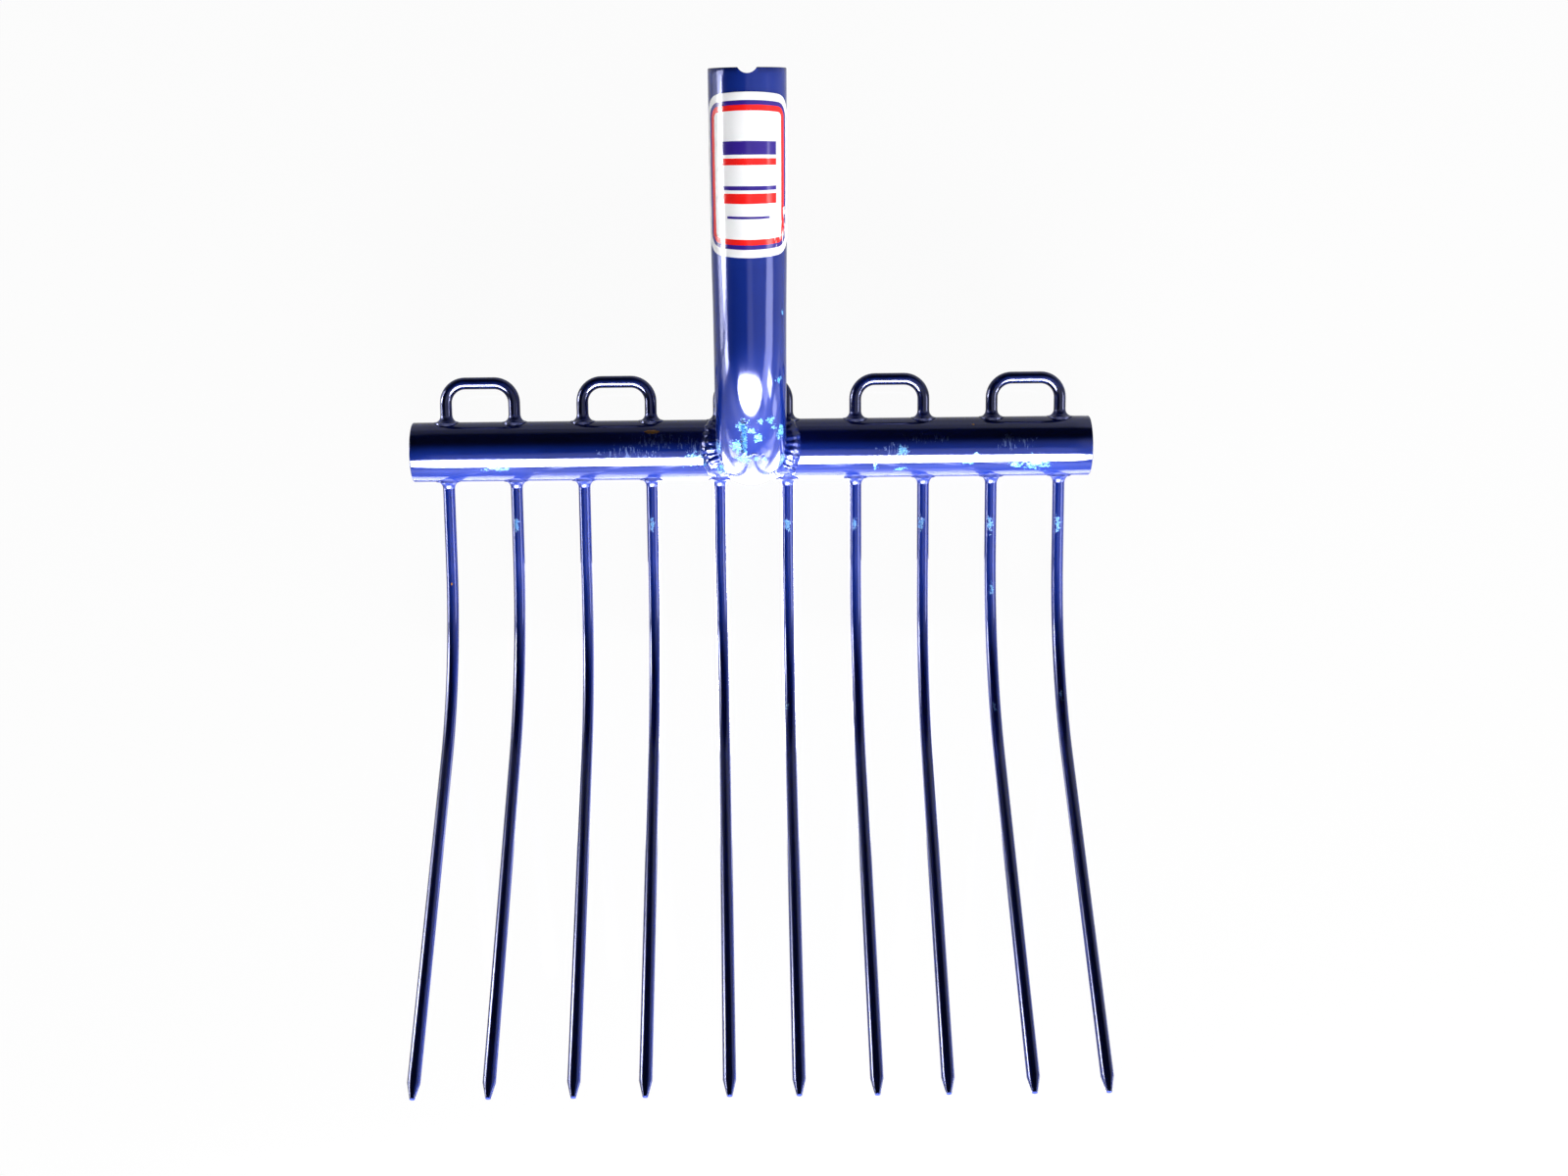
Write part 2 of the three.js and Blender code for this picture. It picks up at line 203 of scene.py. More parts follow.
class LabelSizes(bpy.types.PropertyGroup):
    long: length("Length", "Along the socket", 78 * MM)
    wide: length("Width", "Round the socket", 55 * MM)
    corner: length("Corner", "Radius of the corners", 11 * MM)
    thickness: length("Thickness", "Thickness of the film", 0.12 * MM)
    from_rim: length("From rim", "From the socket's rim", 11.3 * MM)
    stand: length("Stand", "How far the film's underside is off the coat", 0.02 * MM)
    lift: length("Lift", "How far the rubbed corner has lifted", 0.5 * MM)
    bow: share("Bow", "How much shorter the sheet is at its sides", 0.08)


class FinishColours(bpy.types.PropertyGroup):
    navy: colour("Navy coat", "Colour of the powder coat", (0.006, 0.024, 0.23))
    weld: colour("Weld coat", "The same coat over the weld beads", (0.007, 0.027, 0.25))
    plug: colour("Plug", "Moulded plugs", (0.008, 0.010, 0.025))
    # These two are the colours of rubbed places, and of the painted highlight on the seam.
    rub_and_highlight: colour("Rub", "Light blue where the coat is rubbed", (0.05, 0.34, 0.85))
    bare_and_highlight: colour("Bare", "Pale middle of a rubbed place", (0.30, 0.74, 0.94))
    smudge: colour("Smudge", "Pale blue scratches in the coat", (0.17, 0.25, 0.62))
    grit: colour("Grit", "Specks of dust on the coat", (0.55, 0.62, 0.80))
    soil: colour("Soil", "Specks of dry soil", (0.62, 0.26, 0.05))
    print_navy: colour("Print navy", "Navy ink on the label", (0.030, 0.012, 0.24))
    print_red: colour("Print red", "Red ink on the label", (0.86, 0.012, 0.010))
    film: colour("Film", "The label's ground", (0.92, 0.92, 0.94))


class StageSettings(bpy.types.PropertyGroup):
    camera_height: length("Camera height", "Above the crossbar's axis", 1067 * MM)
    camera_back: length("Camera back", "From the crossbar's axis towards the points", 74.5 * MM)
    camera_turn: angle("Camera turn", "Turn of the picture", -0.62)
    lens: number("Lens", "Focal length", 45.77, subtype="DISTANCE_CAMERA")
    sensor: number("Sensor", "Width of the sensor", 36.0, subtype="DISTANCE_CAMERA")
    shift: number("Shift", "Sideways shift of the frame", 0.02)
    floor_size: length("Floor size", "Side of the floor", 14)
    floor_white: share("Floor white", "How much of the floor is seen as plain white", 0.96)
    floor_mirrored: share("Floor mirrored", "How much of it is mirrored as plain white", 0.5)


SETTINGS = {
    "fork_crossbar": CrossbarSizes,
    "fork_rods": RodSizes,
    "fork_welds": WeldSizes,
    "fork_socket": SocketSizes,
    "fork_label": LabelSizes,
    "fork_colours": FinishColours,
    "fork_stage": StageSettings,
}

# How points are merged, and how the beads, the plugs and the tube are shaped along their way
MERGE_BELOW = 2e-5
BEAD_SMOOTH = 60
PLUG_FACE_DEPTH = 1.5
COLLAR_SEED, BEAD_SEED, SEAM_SEED = 7, 3, 11
COLLAR_FOOT = 3 * MM
DRAWN_IN = [(0, 1), (0.2, 0.995), (0.4, 0.974), (0.5, 0.955)]
DRAWN_IN += [(0.6, 0.946), (0.8, 0.95), (0.92, 0.975), (1, 1)]
BEAD_RIPPLE = (1, 1.05, 1.05, 1)
BEAD_UNEVEN = (0.93, 1.07)
BEAD_SKIRT_AT = math.radians(55)
BEAD_EASE = math.radians(25)
SEAM_RIPPLE = (0.5, 0.95, 1.15, 0.95)
SEAM_STRAY = 0.15
SEAM_SUNK = 0.4
SEAM_END = 0.4
SEAM_END_RINGS = 4
LIP_WAVE = math.radians(0.6)
LIP_WAVES = 9
LIP_START, LIP_TAPER = 0.75, 0.4
LIP_LUMP, LIP_LUMPS = 0.12, 2.4
LIP_SUNK = 0.6

# Where the label's rubbed corner lifts, as shares of the sheet from its left and from its top
LIFT_RIGHT_OF = 0.85
LIFT_BELOW = 0.75
LIFT_STEEPNESS = 20


# Modelling helpers


def along_at(lean):
    """The direction that leans up from +Y by an angle."""
    return Vector((0, math.cos(lean), math.sin(lean)))


def square_at(lean):
    """The direction square to that lean, on its upper side."""
    return Vector((0, -math.sin(lean), math.cos(lean)))


def at_tine(tine):
    """Where a tine's rod crosses the crossbar's axis."""
    return Vector((TINE_X[tine], BAR_CENTRE.y, BAR_CENTRE.z))


def at_bar(millimetres):
    """A place told from the middle of the crossbar, in the row frame."""
    return BAR_CENTRE + Vector(millimetres) * MM


def deselect():
    bpy.ops.object.select_all(action="DESELECT")


def only(obj, *others):
    """Leaves these objects selected, with the first one active."""
    deselect()
    for chosen in (obj, *others):
        chosen.select_set(True)
    bpy.context.view_layer.objects.active = obj


def settle(name):
    """Names the new object and puts its place into its mesh."""
    obj = bpy.context.object
    obj.name = obj.data.name = name
    bpy.ops.object.transform_apply(location=True, rotation=True, scale=True)
    return obj


def start_ring(name, radius, sides, place, angles=(0, 0, 0)):
    """Adds an open ring of points and stays in edit mode with the ring selected."""
    deselect()
    bpy.ops.mesh.primitive_circle_add(
        vertices=sides, radius=radius, fill_type="NOTHING", location=place, rotation=angles
    )
    obj = settle(name)
    bpy.ops.object.mode_set(mode="EDIT")
    bpy.ops.mesh.select_all(action="SELECT")
    return obj


def add_cylinder(name, radius, long, place, angles, sides):
    """A plain closed cylinder, for cutting."""
    deselect()
    bpy.ops.mesh.primitive_cylinder_add(
        vertices=sides, radius=radius, depth=long, location=place, rotation=angles
    )
    return settle(name)


def extrude(move):
    bpy.ops.mesh.extrude_region_move(TRANSFORM_OT_translate={"value": move})


def turn(amount, axis, centre):
    """Turns the selection right-handed about X, Y or Z. With no window, rotate goes the other way."""
    bpy.ops.transform.rotate(value=-amount, orient_axis=axis, center_override=centre)


def resize(value, centre):
    bpy.ops.transform.resize(value=value, center_override=centre)


def spin(amount, steps, centre, axis):
    """Draws the selection round a centre, right-handed. Spin itself goes the other way."""
    bpy.ops.mesh.spin(steps=steps, angle=-amount, center=centre, axis=axis)


def sweep(stations, axis):
    """Extrudes the selected ring from station to station: a place, an angle about the axis, the ring's
    half size and how much wider it is along X."""
    for before, after in zip(stations, stations[1:]):
        place, bearing, half, wide = after
        extrude(place - before[0])
        turn(bearing - before[1], axis, place)
        grow = half / before[2]
        resize((grow, grow, grow), place)
        resize((wide / before[3], 1, 1), place)


def face_outwards():
    """Points the faces outwards and leaves edit mode."""
    bpy.ops.mesh.select_all(action="SELECT")
    bpy.ops.mesh.normals_make_consistent(inside=False)
    bpy.ops.object.mode_set(mode="OBJECT")


def close_mesh(merge=True):
    """Closes the open rings, points the faces outwards and leaves edit mode."""
    bpy.ops.mesh.select_all(action="SELECT")
    if merge:
        bpy.ops.mesh.remove_doubles(threshold=MERGE_BELOW)
    bpy.ops.mesh.fill_holes(sides=0)
    face_outwards()


def closed_bead(name, stations, sides, angles, axis):
    """A bead swept through the stations from a ring at the first one."""
    place, _, half, _ = stations[0]
    bead = start_ring(name, half, sides, place, angles)
    sweep(stations, axis)
    close_mesh()
    return bead


def add_modifier(obj, kind, **values):
    """Adds a modifier and applies it."""
    only(obj)
    modifier = obj.modifiers.new(kind.title(), kind)
    for name, value in values.items():
        setattr(modifier, name, value)
    bpy.ops.object.modifier_apply(modifier=modifier.name)


def give_wall(skin, wall, edge, steps):
    """Gives an open skin its wall and rounds the cut ends."""
    add_modifier(skin, "SOLIDIFY", thickness=wall, offset=-1, use_even_offset=True)
    add_modifier(skin, "BEVEL", width=edge, segments=steps, limit_method="ANGLE", angle_limit=SHARP)


def cloud_texture(name, size):
    texture = bpy.data.textures.new(name, "CLOUDS")
    texture.noise_scale = size
    return texture


def make_lumpy(obj, texture, height):
    """Raises and sinks the surface by a texture."""
    values = {"texture": texture, "texture_coords": "LOCAL", "strength": height, "mid_level": 0.5}
    add_modifier(obj, "DISPLACE", **values)


def cut(obj, *cutters):
    """Takes the cutters out of obj."""
    for cutter in cutters:
        add_modifier(obj, "BOOLEAN", operation="DIFFERENCE", solver="EXACT", object=cutter)


def remove(*objects):
    for obj in objects:
        bpy.data.objects.remove(obj)


def copy_of(obj, name):
    """A copy with a mesh of its own."""
    only(obj)
    bpy.ops.object.duplicate(linked=False)
    other = bpy.context.object
    other.name = other.data.name = name
    return other


def place_mesh(obj, move=(0, 0, 0), angles=(0, 0, 0)):
    """Turns and moves an object, and puts its place into its mesh."""
    only(obj)
    obj.location = move
    obj.rotation_euler = angles
    bpy.ops.object.transform_apply(location=True, rotation=True, scale=True)


def select_where(obj, test):
    """Selects the points of an object in edit mode that pass the test."""
    mesh = bmesh.from_edit_mesh(obj.data)
    bpy.ops.mesh.select_mode(type="VERT")
    bpy.ops.mesh.select_all(action="DESELECT")
    for point in mesh.verts:
        point.select = test(point.co)
    mesh.select_flush_mode()
    bmesh.update_edit_mesh(obj.data)


def finish_piece(obj, material, slot, *nodes, smooth=35):
    """Smooths, paints and seats a finished piece, and says which nodes it stands for."""
    only(obj)
    bpy.ops.object.shade_smooth_by_angle(angle=math.radians(smooth))
    obj.data.materials.clear()
    obj.data.materials.append(material)
    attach(obj, BODY)
    if nodes:
        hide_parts(*nodes)


def bar_cutter(inset):
    """The crossbar's outside, smaller by the inset."""
    radius = BAR_RADIUS - inset
    return add_cylinder("bar_cutter", radius, BAR_LENGTH * 2, BAR_CENTRE, (0, QUARTER, 0), CUTTER_SIDES)


# Shader helpers

VECTOR = "NodeSocketVector"
FLOAT = "NodeSocketFloat"
MASK = ("Mask", FLOAT)


class Tree:
    """A node tree with short ways to add and join its nodes."""

    def __init__(self, tree):
        self.nodes = tree.nodes
        self.links = tree.links

    def add(self, kind, inputs=(), **settings):
        node = self.nodes.new(kind)
        for name, value in settings.items():
            setattr(node, name, value)
        for key, value in dict(inputs).items():
            if isinstance(value, bpy.types.NodeSocket):
                self.links.new(value, node.inputs[key])
            else:
                node.inputs[key].default_value = value
        return node

    def group(self, name, inputs):
        """The output of a shared group."""
        return self.add("ShaderNodeGroup", inputs, node_tree=shared_group(name)).outputs[0]

    def math(self, operation, first, second=0.0):
        return self.add("ShaderNodeMath", {0: first, 1: second}, operation=operation).outputs[0]

    def times(self, first, second):
        return self.math("MULTIPLY", first, second)

    def vector(self, operation, first, second=(0, 0, 0), output="Vector"):
        inputs = {0: first, 1: second}
        return self.add("ShaderNodeVectorMath", inputs, operation=operation).outputs[output]

    def scaled(self, base, tone):
        """A colour made lighter or darker by a tone."""
        inputs = {0: tuple(base), "Scale": tone}
        return self.add("ShaderNodeVectorMath", inputs, operation="SCALE").outputs[0]

    def noise(self, place, scale, detail, roughness=0.5):
        inputs = {"Vector": place, "Scale": scale, "Detail": detail, "Roughness": roughness}
        return self.add("ShaderNodeTexNoise", inputs).outputs[0]

    def ramp(self, value, low, high, to_low=0.0, to_high=1.0):
        """A smooth step from one value to another."""
        inputs = {0: value, 1: low, 2: high, 3: to_low, 4: to_high}
        return self.add("ShaderNodeMapRange", inputs, interpolation_type="SMOOTHSTEP").outputs[0]

    def blend(self, amount, first, second):
        inputs = {0: amount, 6: first, 7: second}
        return self.add("ShaderNodeMix", inputs, data_type="RGBA").outputs[2]

    def most(self, values):
        """The largest of several masks."""
        result = values[0]
        for value in values[1:]:
            result = self.math("MAXIMUM", result, value)
        return result

    def finish(self, skin, hue, rough, normal):
        """Joins a colour, a roughness and a normal to the Principled BSDF."""
        for name, value in (("Base Color", hue), ("Roughness", rough), ("Normal", normal)):
            self.links.new(value, skin.inputs[name])


# The grain of the finishes: lengths in metres, the rest as shares. A noise has its scale, its detail and,
# where that isn't a half, its roughness
CHIP_DEPTH = 0.00008
PEEL_DETAIL = 1.5
SPOT_NOISE = (4.0, 0.72)
STROKE_NOISE = (4.0, 0.75)
SPOT_EDGE = (0.68, 0.86)
STROKE_SLANT = math.radians(35)
STROKE_SHAPE = (1.0, 0.16, 0.3)
STROKE_EDGE = 0.06
WORN_ROUGHER = 0.3
COAT_METALLIC = 0.12
COAT_IOR = 1.5
COAT_CLOUDS = (22.0, 3.0)
COAT_WAVE_WIDTH = 0.0035
PLUG_GRAIN = (900.0, 2.0)
PLUG_WAVES = {"Width": 0.0008, "Depth": 0.00003, "Chips": 0.0}
FILM_GRAIN = (700.0, 4.0)
FILM_WAVES = {"Width": 0.002, "Depth": 0.000006}
GRIT = {"Spacing": 0.012, "Size": 0.00035, "Share": 0.3}
GRIT_STRENGTH = 0.7
FLECK_GRAIN = (1100.0, 3.0, 0.7)
COAT_SCRATCHES = {"Spacing": 0.0012, "Share": 0.48}
FILM_SCRATCHES = {"Spacing": 0.004, "Share": 0.5}

# Steps of a noise, from one value to another. Where there are four, the last two are the tones or the
# roughnesses at those
COAT_TONE = (0.3, 0.7, 0.88, 1.12)
COAT_GLOSS_STEP = (0.35, 0.75)
FLECK_STEP = (0.46, 0.66)
PLUG_TONE = (0.3, 0.7, 0.8, 1.2)
PLUG_ROUGHNESS = (0.3, 0.7, 0.42, 0.58)
FILM_ROUGHNESS = (0.3, 0.7, 0.1, 0.2)


def orange_peel(nodes, entry):
    """The slight waves of a sprayed coat, with chips pressed in, as a normal."""
    waves = nodes.noise(entry["Place"], nodes.math("DIVIDE", 1.0, entry["Width"]), PEEL_DETAIL)
    height = nodes.times(waves, entry["Depth"])
    height = nodes.math("SUBTRACT", height, nodes.times(entry["Chips"], CHIP_DEPTH))
    return nodes.add("ShaderNodeBump", {"Strength": 1.0, "Distance": 1.0, "Height": height}).outputs[0]


def worn_spot(nodes, entry):
    """A ragged and broken patch round a point, as a mask."""
    away = nodes.vector("SUBTRACT", entry["Place"], entry["Centre"])
    away = nodes.vector("DIVIDE", away, entry["Reach"])
    distance = nodes.vector("LENGTH", away, output="Value")
    noise = nodes.noise(entry["Place"], nodes.math("DIVIDE", 1.0, entry["Grain"]), *SPOT_NOISE)
    noise = nodes.times(nodes.math("SUBTRACT", noise, 0.5), entry["Ragged"])
    mask = nodes.ramp(nodes.math("ADD", distance, noise), *SPOT_EDGE, 1.0, 0.0)
    return nodes.times(mask, entry["Strength"])


def specks(nodes, entry):
    """Dust and tiny nicks: small dots at random places, as a mask."""
    per_metre = nodes.math("DIVIDE", 1.0, entry["Spacing"])
    cells = nodes.add("ShaderNodeTexVoronoi", {"Vector": entry["Place"], "Scale": per_metre})
    size = nodes.math("DIVIDE", entry["Size"], entry["Spacing"])
    near = nodes.math("LESS_THAN", cells.outputs["Distance"], size)
    pick = nodes.add("ShaderNodeSeparateColor", {0: cells.outputs["Color"]}).outputs[0]
    return nodes.times(near, nodes.math("LESS_THAN", pick, entry["Share"]))


def scratches(nodes, entry):
    """Fine slanting strokes inside a patch, as a mask."""
    slant = {"Vector": entry["Place"], "Rotation": (0, 0, STROKE_SLANT), "Scale": STROKE_SHAPE}
    turned = nodes.add("ShaderNodeMapping", slant).outputs[0]
    strokes = nodes.noise(turned, nodes.math("DIVIDE", 1.0, entry["Spacing"]), *STROKE_NOISE)
    limit = nodes.math("SUBTRACT", 1.0, entry["Share"])
    strokes = nodes.ramp(strokes, limit, nodes.math("ADD", limit, STROKE_EDGE))
    return nodes.times(strokes, entry["Patch"])


def round_frame(nodes, entry):
    """The line of a frame with round corners, at an inset from the sheet's edge, as a mask."""
    corner = nodes.add("ShaderNodeCombineXYZ", {0: entry["Corner"], 1: entry["Corner"]}).outputs[0]
    inner = nodes.vector("SUBTRACT", entry["Half size"], corner)
    away = nodes.vector("SUBTRACT", nodes.vector("ABSOLUTE", entry["Place"]), inner)
    reach = nodes.vector("LENGTH", nodes.vector("MAXIMUM", away, (0, 0, 0)), output="Value")
    parts = nodes.add("ShaderNodeSeparateXYZ", {0: away}).outputs
    inside = nodes.math("MINIMUM", nodes.math("MAXIMUM", parts[0], parts[1]), 0.0)
    distance = nodes.math("SUBTRACT", nodes.math("ADD", reach, inside), entry["Corner"])
    from_line = nodes.math("ABSOLUTE", nodes.math("ADD", distance, entry["Inset"]))
    return nodes.math("LESS_THAN", from_line, nodes.times(entry["Line"], 0.5))


def printed_bar(nodes, entry):
    """A straight printed bar, as a mask."""
    away = nodes.vector("ABSOLUTE", nodes.vector("SUBTRACT", entry["Place"], entry["Centre"]))
    away = nodes.vector("SUBTRACT", entry["Half size"], away)
    parts = nodes.add("ShaderNodeSeparateXYZ", {0: away}).outputs
    return nodes.math("GREATER_THAN", nodes.math("MINIMUM", parts[0], parts[1]), 0.0)


# The shared groups: what draws each, the vectors and then the numbers that go in, and what comes out
GROUPS = {
    "Orange peel": (orange_peel, ("Place",), ("Width", "Depth", "Chips"), ("Normal", VECTOR)),
    "Worn spot": (worn_spot, ("Place", "Centre", "Reach"), ("Ragged", "Grain", "Strength"), MASK),
    "Specks": (specks, ("Place",), ("Spacing", "Size", "Share"), MASK),
    "Scratches": (scratches, ("Place",), ("Patch", "Spacing", "Share"), MASK),
    "Round frame": (round_frame, ("Place", "Half size"), ("Corner", "Inset", "Line"), MASK),
    "Printed bar": (printed_bar, ("Place", "Centre", "Half size"), (), MASK),
}


def shared_group(name):
    """The node group of that name, made when it is first asked for."""
    if name in bpy.data.node_groups:
        return bpy.data.node_groups[name]
    draw, vectors, numbers, (output, output_kind) = GROUPS[name]
    tree = bpy.data.node_groups.new(name, "ShaderNodeTree")
    for labels, kind in ((vectors, VECTOR), (numbers, FLOAT)):
        for label in labels:
            tree.interface.new_socket(label, in_out="INPUT", socket_type=kind)
    tree.interface.new_socket(output, in_out="OUTPUT", socket_type=output_kind)
    entry = tree.nodes.new("NodeGroupInput").outputs
    leave = tree.nodes.new("NodeGroupOutput").inputs
    tree.links.new(draw(Tree(tree), entry), leave[output])
    return tree


def new_material(name):
    """An empty material with its tree and its Principled BSDF."""
    material = bpy.data.materials.new(name)
    material.use_nodes = True
    return material, Tree(material.node_tree), material.node_tree.nodes["Principled BSDF"]


def rgba(values):
    return (*values, 1.0)


def metres(*millimetres):
    return tuple(value * MM for value in millimetres)


# Marks on the coat, and the seam's painted highlight: a place from the middle of the crossbar and a reach,
# in millimetres, and a strength
BAR_CHIPS = [
    ((-30.8, -6.6, 14.4), (4.3, 3.0, 4.0), 0.9),
    ((-22.8, -7.5, 14.0), (2.4, 2.8, 3.0), 0.8),
    ((-134.6, -9.8, 12.5), (6.0, 1.4, 2.0), 0.7),
    ((79.3, -3.0, 15.6), (2.6, 2.6, 3.0), 0.7),
    ((65.3, -10.1, 12.2), (1.3, 2.0, 2.4), 0.8),
    ((79.1, -12.2, 10.1), (3.1, 1.2, 1.6), 0.8),
    ((113.7, -9.4, 12.8), (3.1, 1.2, 1.6), 0.8),
    ((119.2, -5.2, 15.0), (1.6, 0.8, 1.2), 0.8),
    ((140.2, -10.7, 11.8), (3.4, 1.8, 2.4), 0.8),
    ((150.5, -9.8, 12.5), (6.0, 3.2, 4.0), 0.95),
]
BAR_SMUDGES = [
    ((-64.0, -3.0, 15.6), (17.0, 4.6, 4.0), 1.0),
    ((-46.0, 3.6, 15.4), (21.0, 5.2, 4.0), 0.7),
    ((-26.0, -1.0, 15.8), (9.0, 5.0, 4.0), 0.8),
    ((92.4, 3.6, 15.4), (14.0, 3.2, 4.0), 0.7),
    ((76.0, -2.5, 15.6), (9.0, 4.0, 4.0), 0.8),
    ((140.4, 1.0, 15.8), (12.0, 4.6, 4.0), 0.7),
]
BAR_SOIL = [
    ((-52.5, 8.6, 13.3), (5.0, 1.6, 1.8), 1.0),
    ((117.7, 10.9, 11.6), (1.0, 0.8, 1.0), 1.0),
]
NECK_CHIPS = [
    ((-7.4, -3.4, 63.7), (2.8, 4.0, 4.5), 1.0),
    ((-3.8, -9.0, 57.0), (2.9, 3.6, 4.6), 1.0),
    ((-4.2, 6.2, 76.2), (2.6, 3.4, 3.4), 0.75),
    ((3.5, 0.6, 70.8), (1.9, 2.4, 2.8), 0.9),
    ((2.8, -9.2, 57.4), (1.2, 1.2, 1.6), 1.0),
    ((6.5, -10.0, 53.5), (1.2, 1.8, 3.0), 1.0),
    ((10.2, 9.0, 74.9), (2.0, 1.6, 2.0), 0.9),
    ((11.4, 5.7, 70.3), (1.0, 1.8, 2.4), 0.7),
    ((4.8, 8.1, 77.8), (1.2, 1.4, 1.6), 0.8),
    ((0.4, 3.6, 74.5), (1.9, 1.3, 1.6), 0.7),
    ((14.7, 3.9, 62.3), (1.9, 3.0, 7.0), 0.95),
    ((16.0, -8.5, 31.1), (2.0, 3.4, 11.0), 0.6),
    ((-14.7, -11.7, 22.7), (2.4, 2.8, 9.0), 0.7),
    ((-17.4, -2.1, 40.3), (1.6, 3.6, 12.0), 0.6),
    ((14.2, 28.4, 82.9), (2.0, 1.4, 2.4), 0.8),
    ((15.9, 60.6, 89.5), (0.7, 1.3, 1.4), 0.9),
]
# A painted highlight: one pale patch over the whole seam, in the light blues of the chipping, stands for
# the bright reflection on its ripples.
SEAM_PAINTED_HIGHLIGHT = [
    ((-3.5, 1.5, 69.5), (3.0, 11.0, 12.0), 0.85),
]
WELD_CHIPS = [
    ((-23.2, -8.0, 15.0), (2.4, 3.4, 4.0), 0.9),
    ((-21.0, -1.5, 18.0), (1.6, 3.6, 4.0), 0.6),
    ((13.1, -15.3, 4.3), (1.8, 1.4, 2.4), 0.9),
    ((22.5, -6.5, 16.0), (1.6, 2.4, 3.0), 0.5),
]
TINE_CHIPS = [
    ((-126.5, -38.9, -3.7), (1.3, 3.4, 2.0), 0.55),
    ((-53.8, -39.7, -3.8), (1.3, 3.0, 2.0), 0.5),
    ((18.8, -40.5, -4.0), (1.3, 3.4, 2.0), 0.55),
    ((55.1, -40.9, -4.1), (1.3, 3.0, 2.0), 0.5),
    ((90.9, -41.3, -4.3), (1.3, 3.4, 2.0), 0.5),
    ((127.8, -41.7, -4.2), (1.4, 4.0, 2.0), 0.65),
    ((164.1, -42.0, -4.3), (1.4, 4.0, 2.0), 0.65),
    ((129.1, -75.9, -9.4), (1.1, 2.6, 2.0), 0.5),
    ((17.6, -137.5, 2.0), (1.0, 2.2, 2.2), 0.5),
    ((128.5, -138.7, 3.1), (1.0, 2.6, 2.2), 0.5),
    ((164.4, -133.9, 0.9), (1.0, 2.6, 2.2), 0.5),
]
TINE_SOIL = [
    ((-162.3, -70.6, -8.9), (0.8, 0.9, 0.9), 1.0),
    ((-165.5, -184.6, 32.3), (0.8, 1.0, 1.0), 0.8),
]

# How ragged the marks' edges are, and the size of that raggedness in metres
SMUDGE_GRAIN = (3.0, 0.004)
CHIP_GRAIN = (6.0, 0.0018)
SOIL_GRAIN = (1.0, 0.0012)
RUBBED_CORNER = {"Centre": metres(19, -27, 0), "Reach": (*metres(8, 14), 1)}
RUBBED_CORNER |= {"Ragged": 1.4, "Grain": 0.003, "Strength": 1.0}

# The label's print in millimetres: a frame's inset and line, then each bar's height and half size
NAVY_PRINT = ((4.9, 2.1), [(13, 15, 3.2), (-6, 15, 1.0), (-20, 11, 0.6)])
RED_PRINT = ((7.3, 2.7), [(6.5, 15, 1.6), (-11, 15, 2.4)])


def marks_mask(nodes, place, marks, ragged, grain):
    """All of a list's marks as one mask."""
    masks = []
    for centre, reach, strength in marks:
        spot = {"Place": place, "Centre": at_bar(centre), "Reach": Vector(reach) * MM}
        spot |= {"Ragged": ragged, "Grain": grain, "Strength": strength}
        masks.append(nodes.group("Worn spot", spot))
    return nodes.most(masks)


def coat_material(name, base, colours, chips_and_highlight=(), smudges=(), soil=(), peel=0.00002, gloss=(0.07, 0.12)):
    """Glossy powder coat on steel, with its chipping, smears and specks of soil at the given places. The
    light blues of the chipping also paint the seam's highlight, where that is passed in with them.
    """
    material, nodes, skin = new_material(f"Navy coat, {name}")
    place = nodes.add("ShaderNodeTexCoord").outputs["Object"]
    cloud = nodes.noise(place, *COAT_CLOUDS)
    grit = nodes.group("Specks", {"Place": place, **GRIT})
    hue = nodes.scaled(base, nodes.ramp(cloud, *COAT_TONE))
    hue = nodes.blend(nodes.times(grit, GRIT_STRENGTH), hue, rgba(colours.grit))
    worn_and_highlight = grit
    if smudges:
        patch = marks_mask(nodes, place, smudges, *SMUDGE_GRAIN)
        scratched = nodes.group("Scratches", {"Place": place, "Patch": patch, **COAT_SCRATCHES})
        hue = nodes.blend(scratched, hue, rgba(colours.smudge))
    # Chipped places in light blue; on the seam this also paints its highlight.
    if chips_and_highlight:
        flaked_and_highlight = marks_mask(nodes, place, chips_and_highlight, *CHIP_GRAIN)
        fleck = nodes.ramp(nodes.noise(place, *FLECK_GRAIN), *FLECK_STEP)
        hue = nodes.blend(flaked_and_highlight, hue, nodes.blend(fleck, rgba(colours.rub_and_highlight), rgba(colours.bare_and_highlight)))
        worn_and_highlight = nodes.math("MAXIMUM", grit, flaked_and_highlight)
    if soil:
        hue = nodes.blend(marks_mask(nodes, place, soil, *SOIL_GRAIN), hue, rgba(colours.soil))
    rough = nodes.ramp(cloud, *COAT_GLOSS_STEP, *gloss)
    rough = nodes.math("ADD", rough, nodes.times(worn_and_highlight, WORN_ROUGHER))
    waves = {"Place": place, "Width": COAT_WAVE_WIDTH, "Depth": peel, "Chips": worn_and_highlight}
    nodes.finish(skin, hue, rough, nodes.group("Orange peel", waves))
    skin.inputs["Metallic"].default_value = COAT_METALLIC
    skin.inputs["IOR"].default_value = COAT_IOR
    return material


def plug_material(base):
    """Dark moulded plastic with a fine grain."""
    material, nodes, skin = new_material("Plug plastic")
    place = nodes.add("ShaderNodeTexCoord").outputs["Object"]
    grain = nodes.noise(place, *PLUG_GRAIN)
    tinted = nodes.scaled(base, nodes.ramp(grain, *PLUG_TONE))
    rough = nodes.ramp(grain, *PLUG_ROUGHNESS)
    nodes.finish(skin, tinted, rough, nodes.group("Orange peel", {"Place": place, **PLUG_WAVES}))
    return material


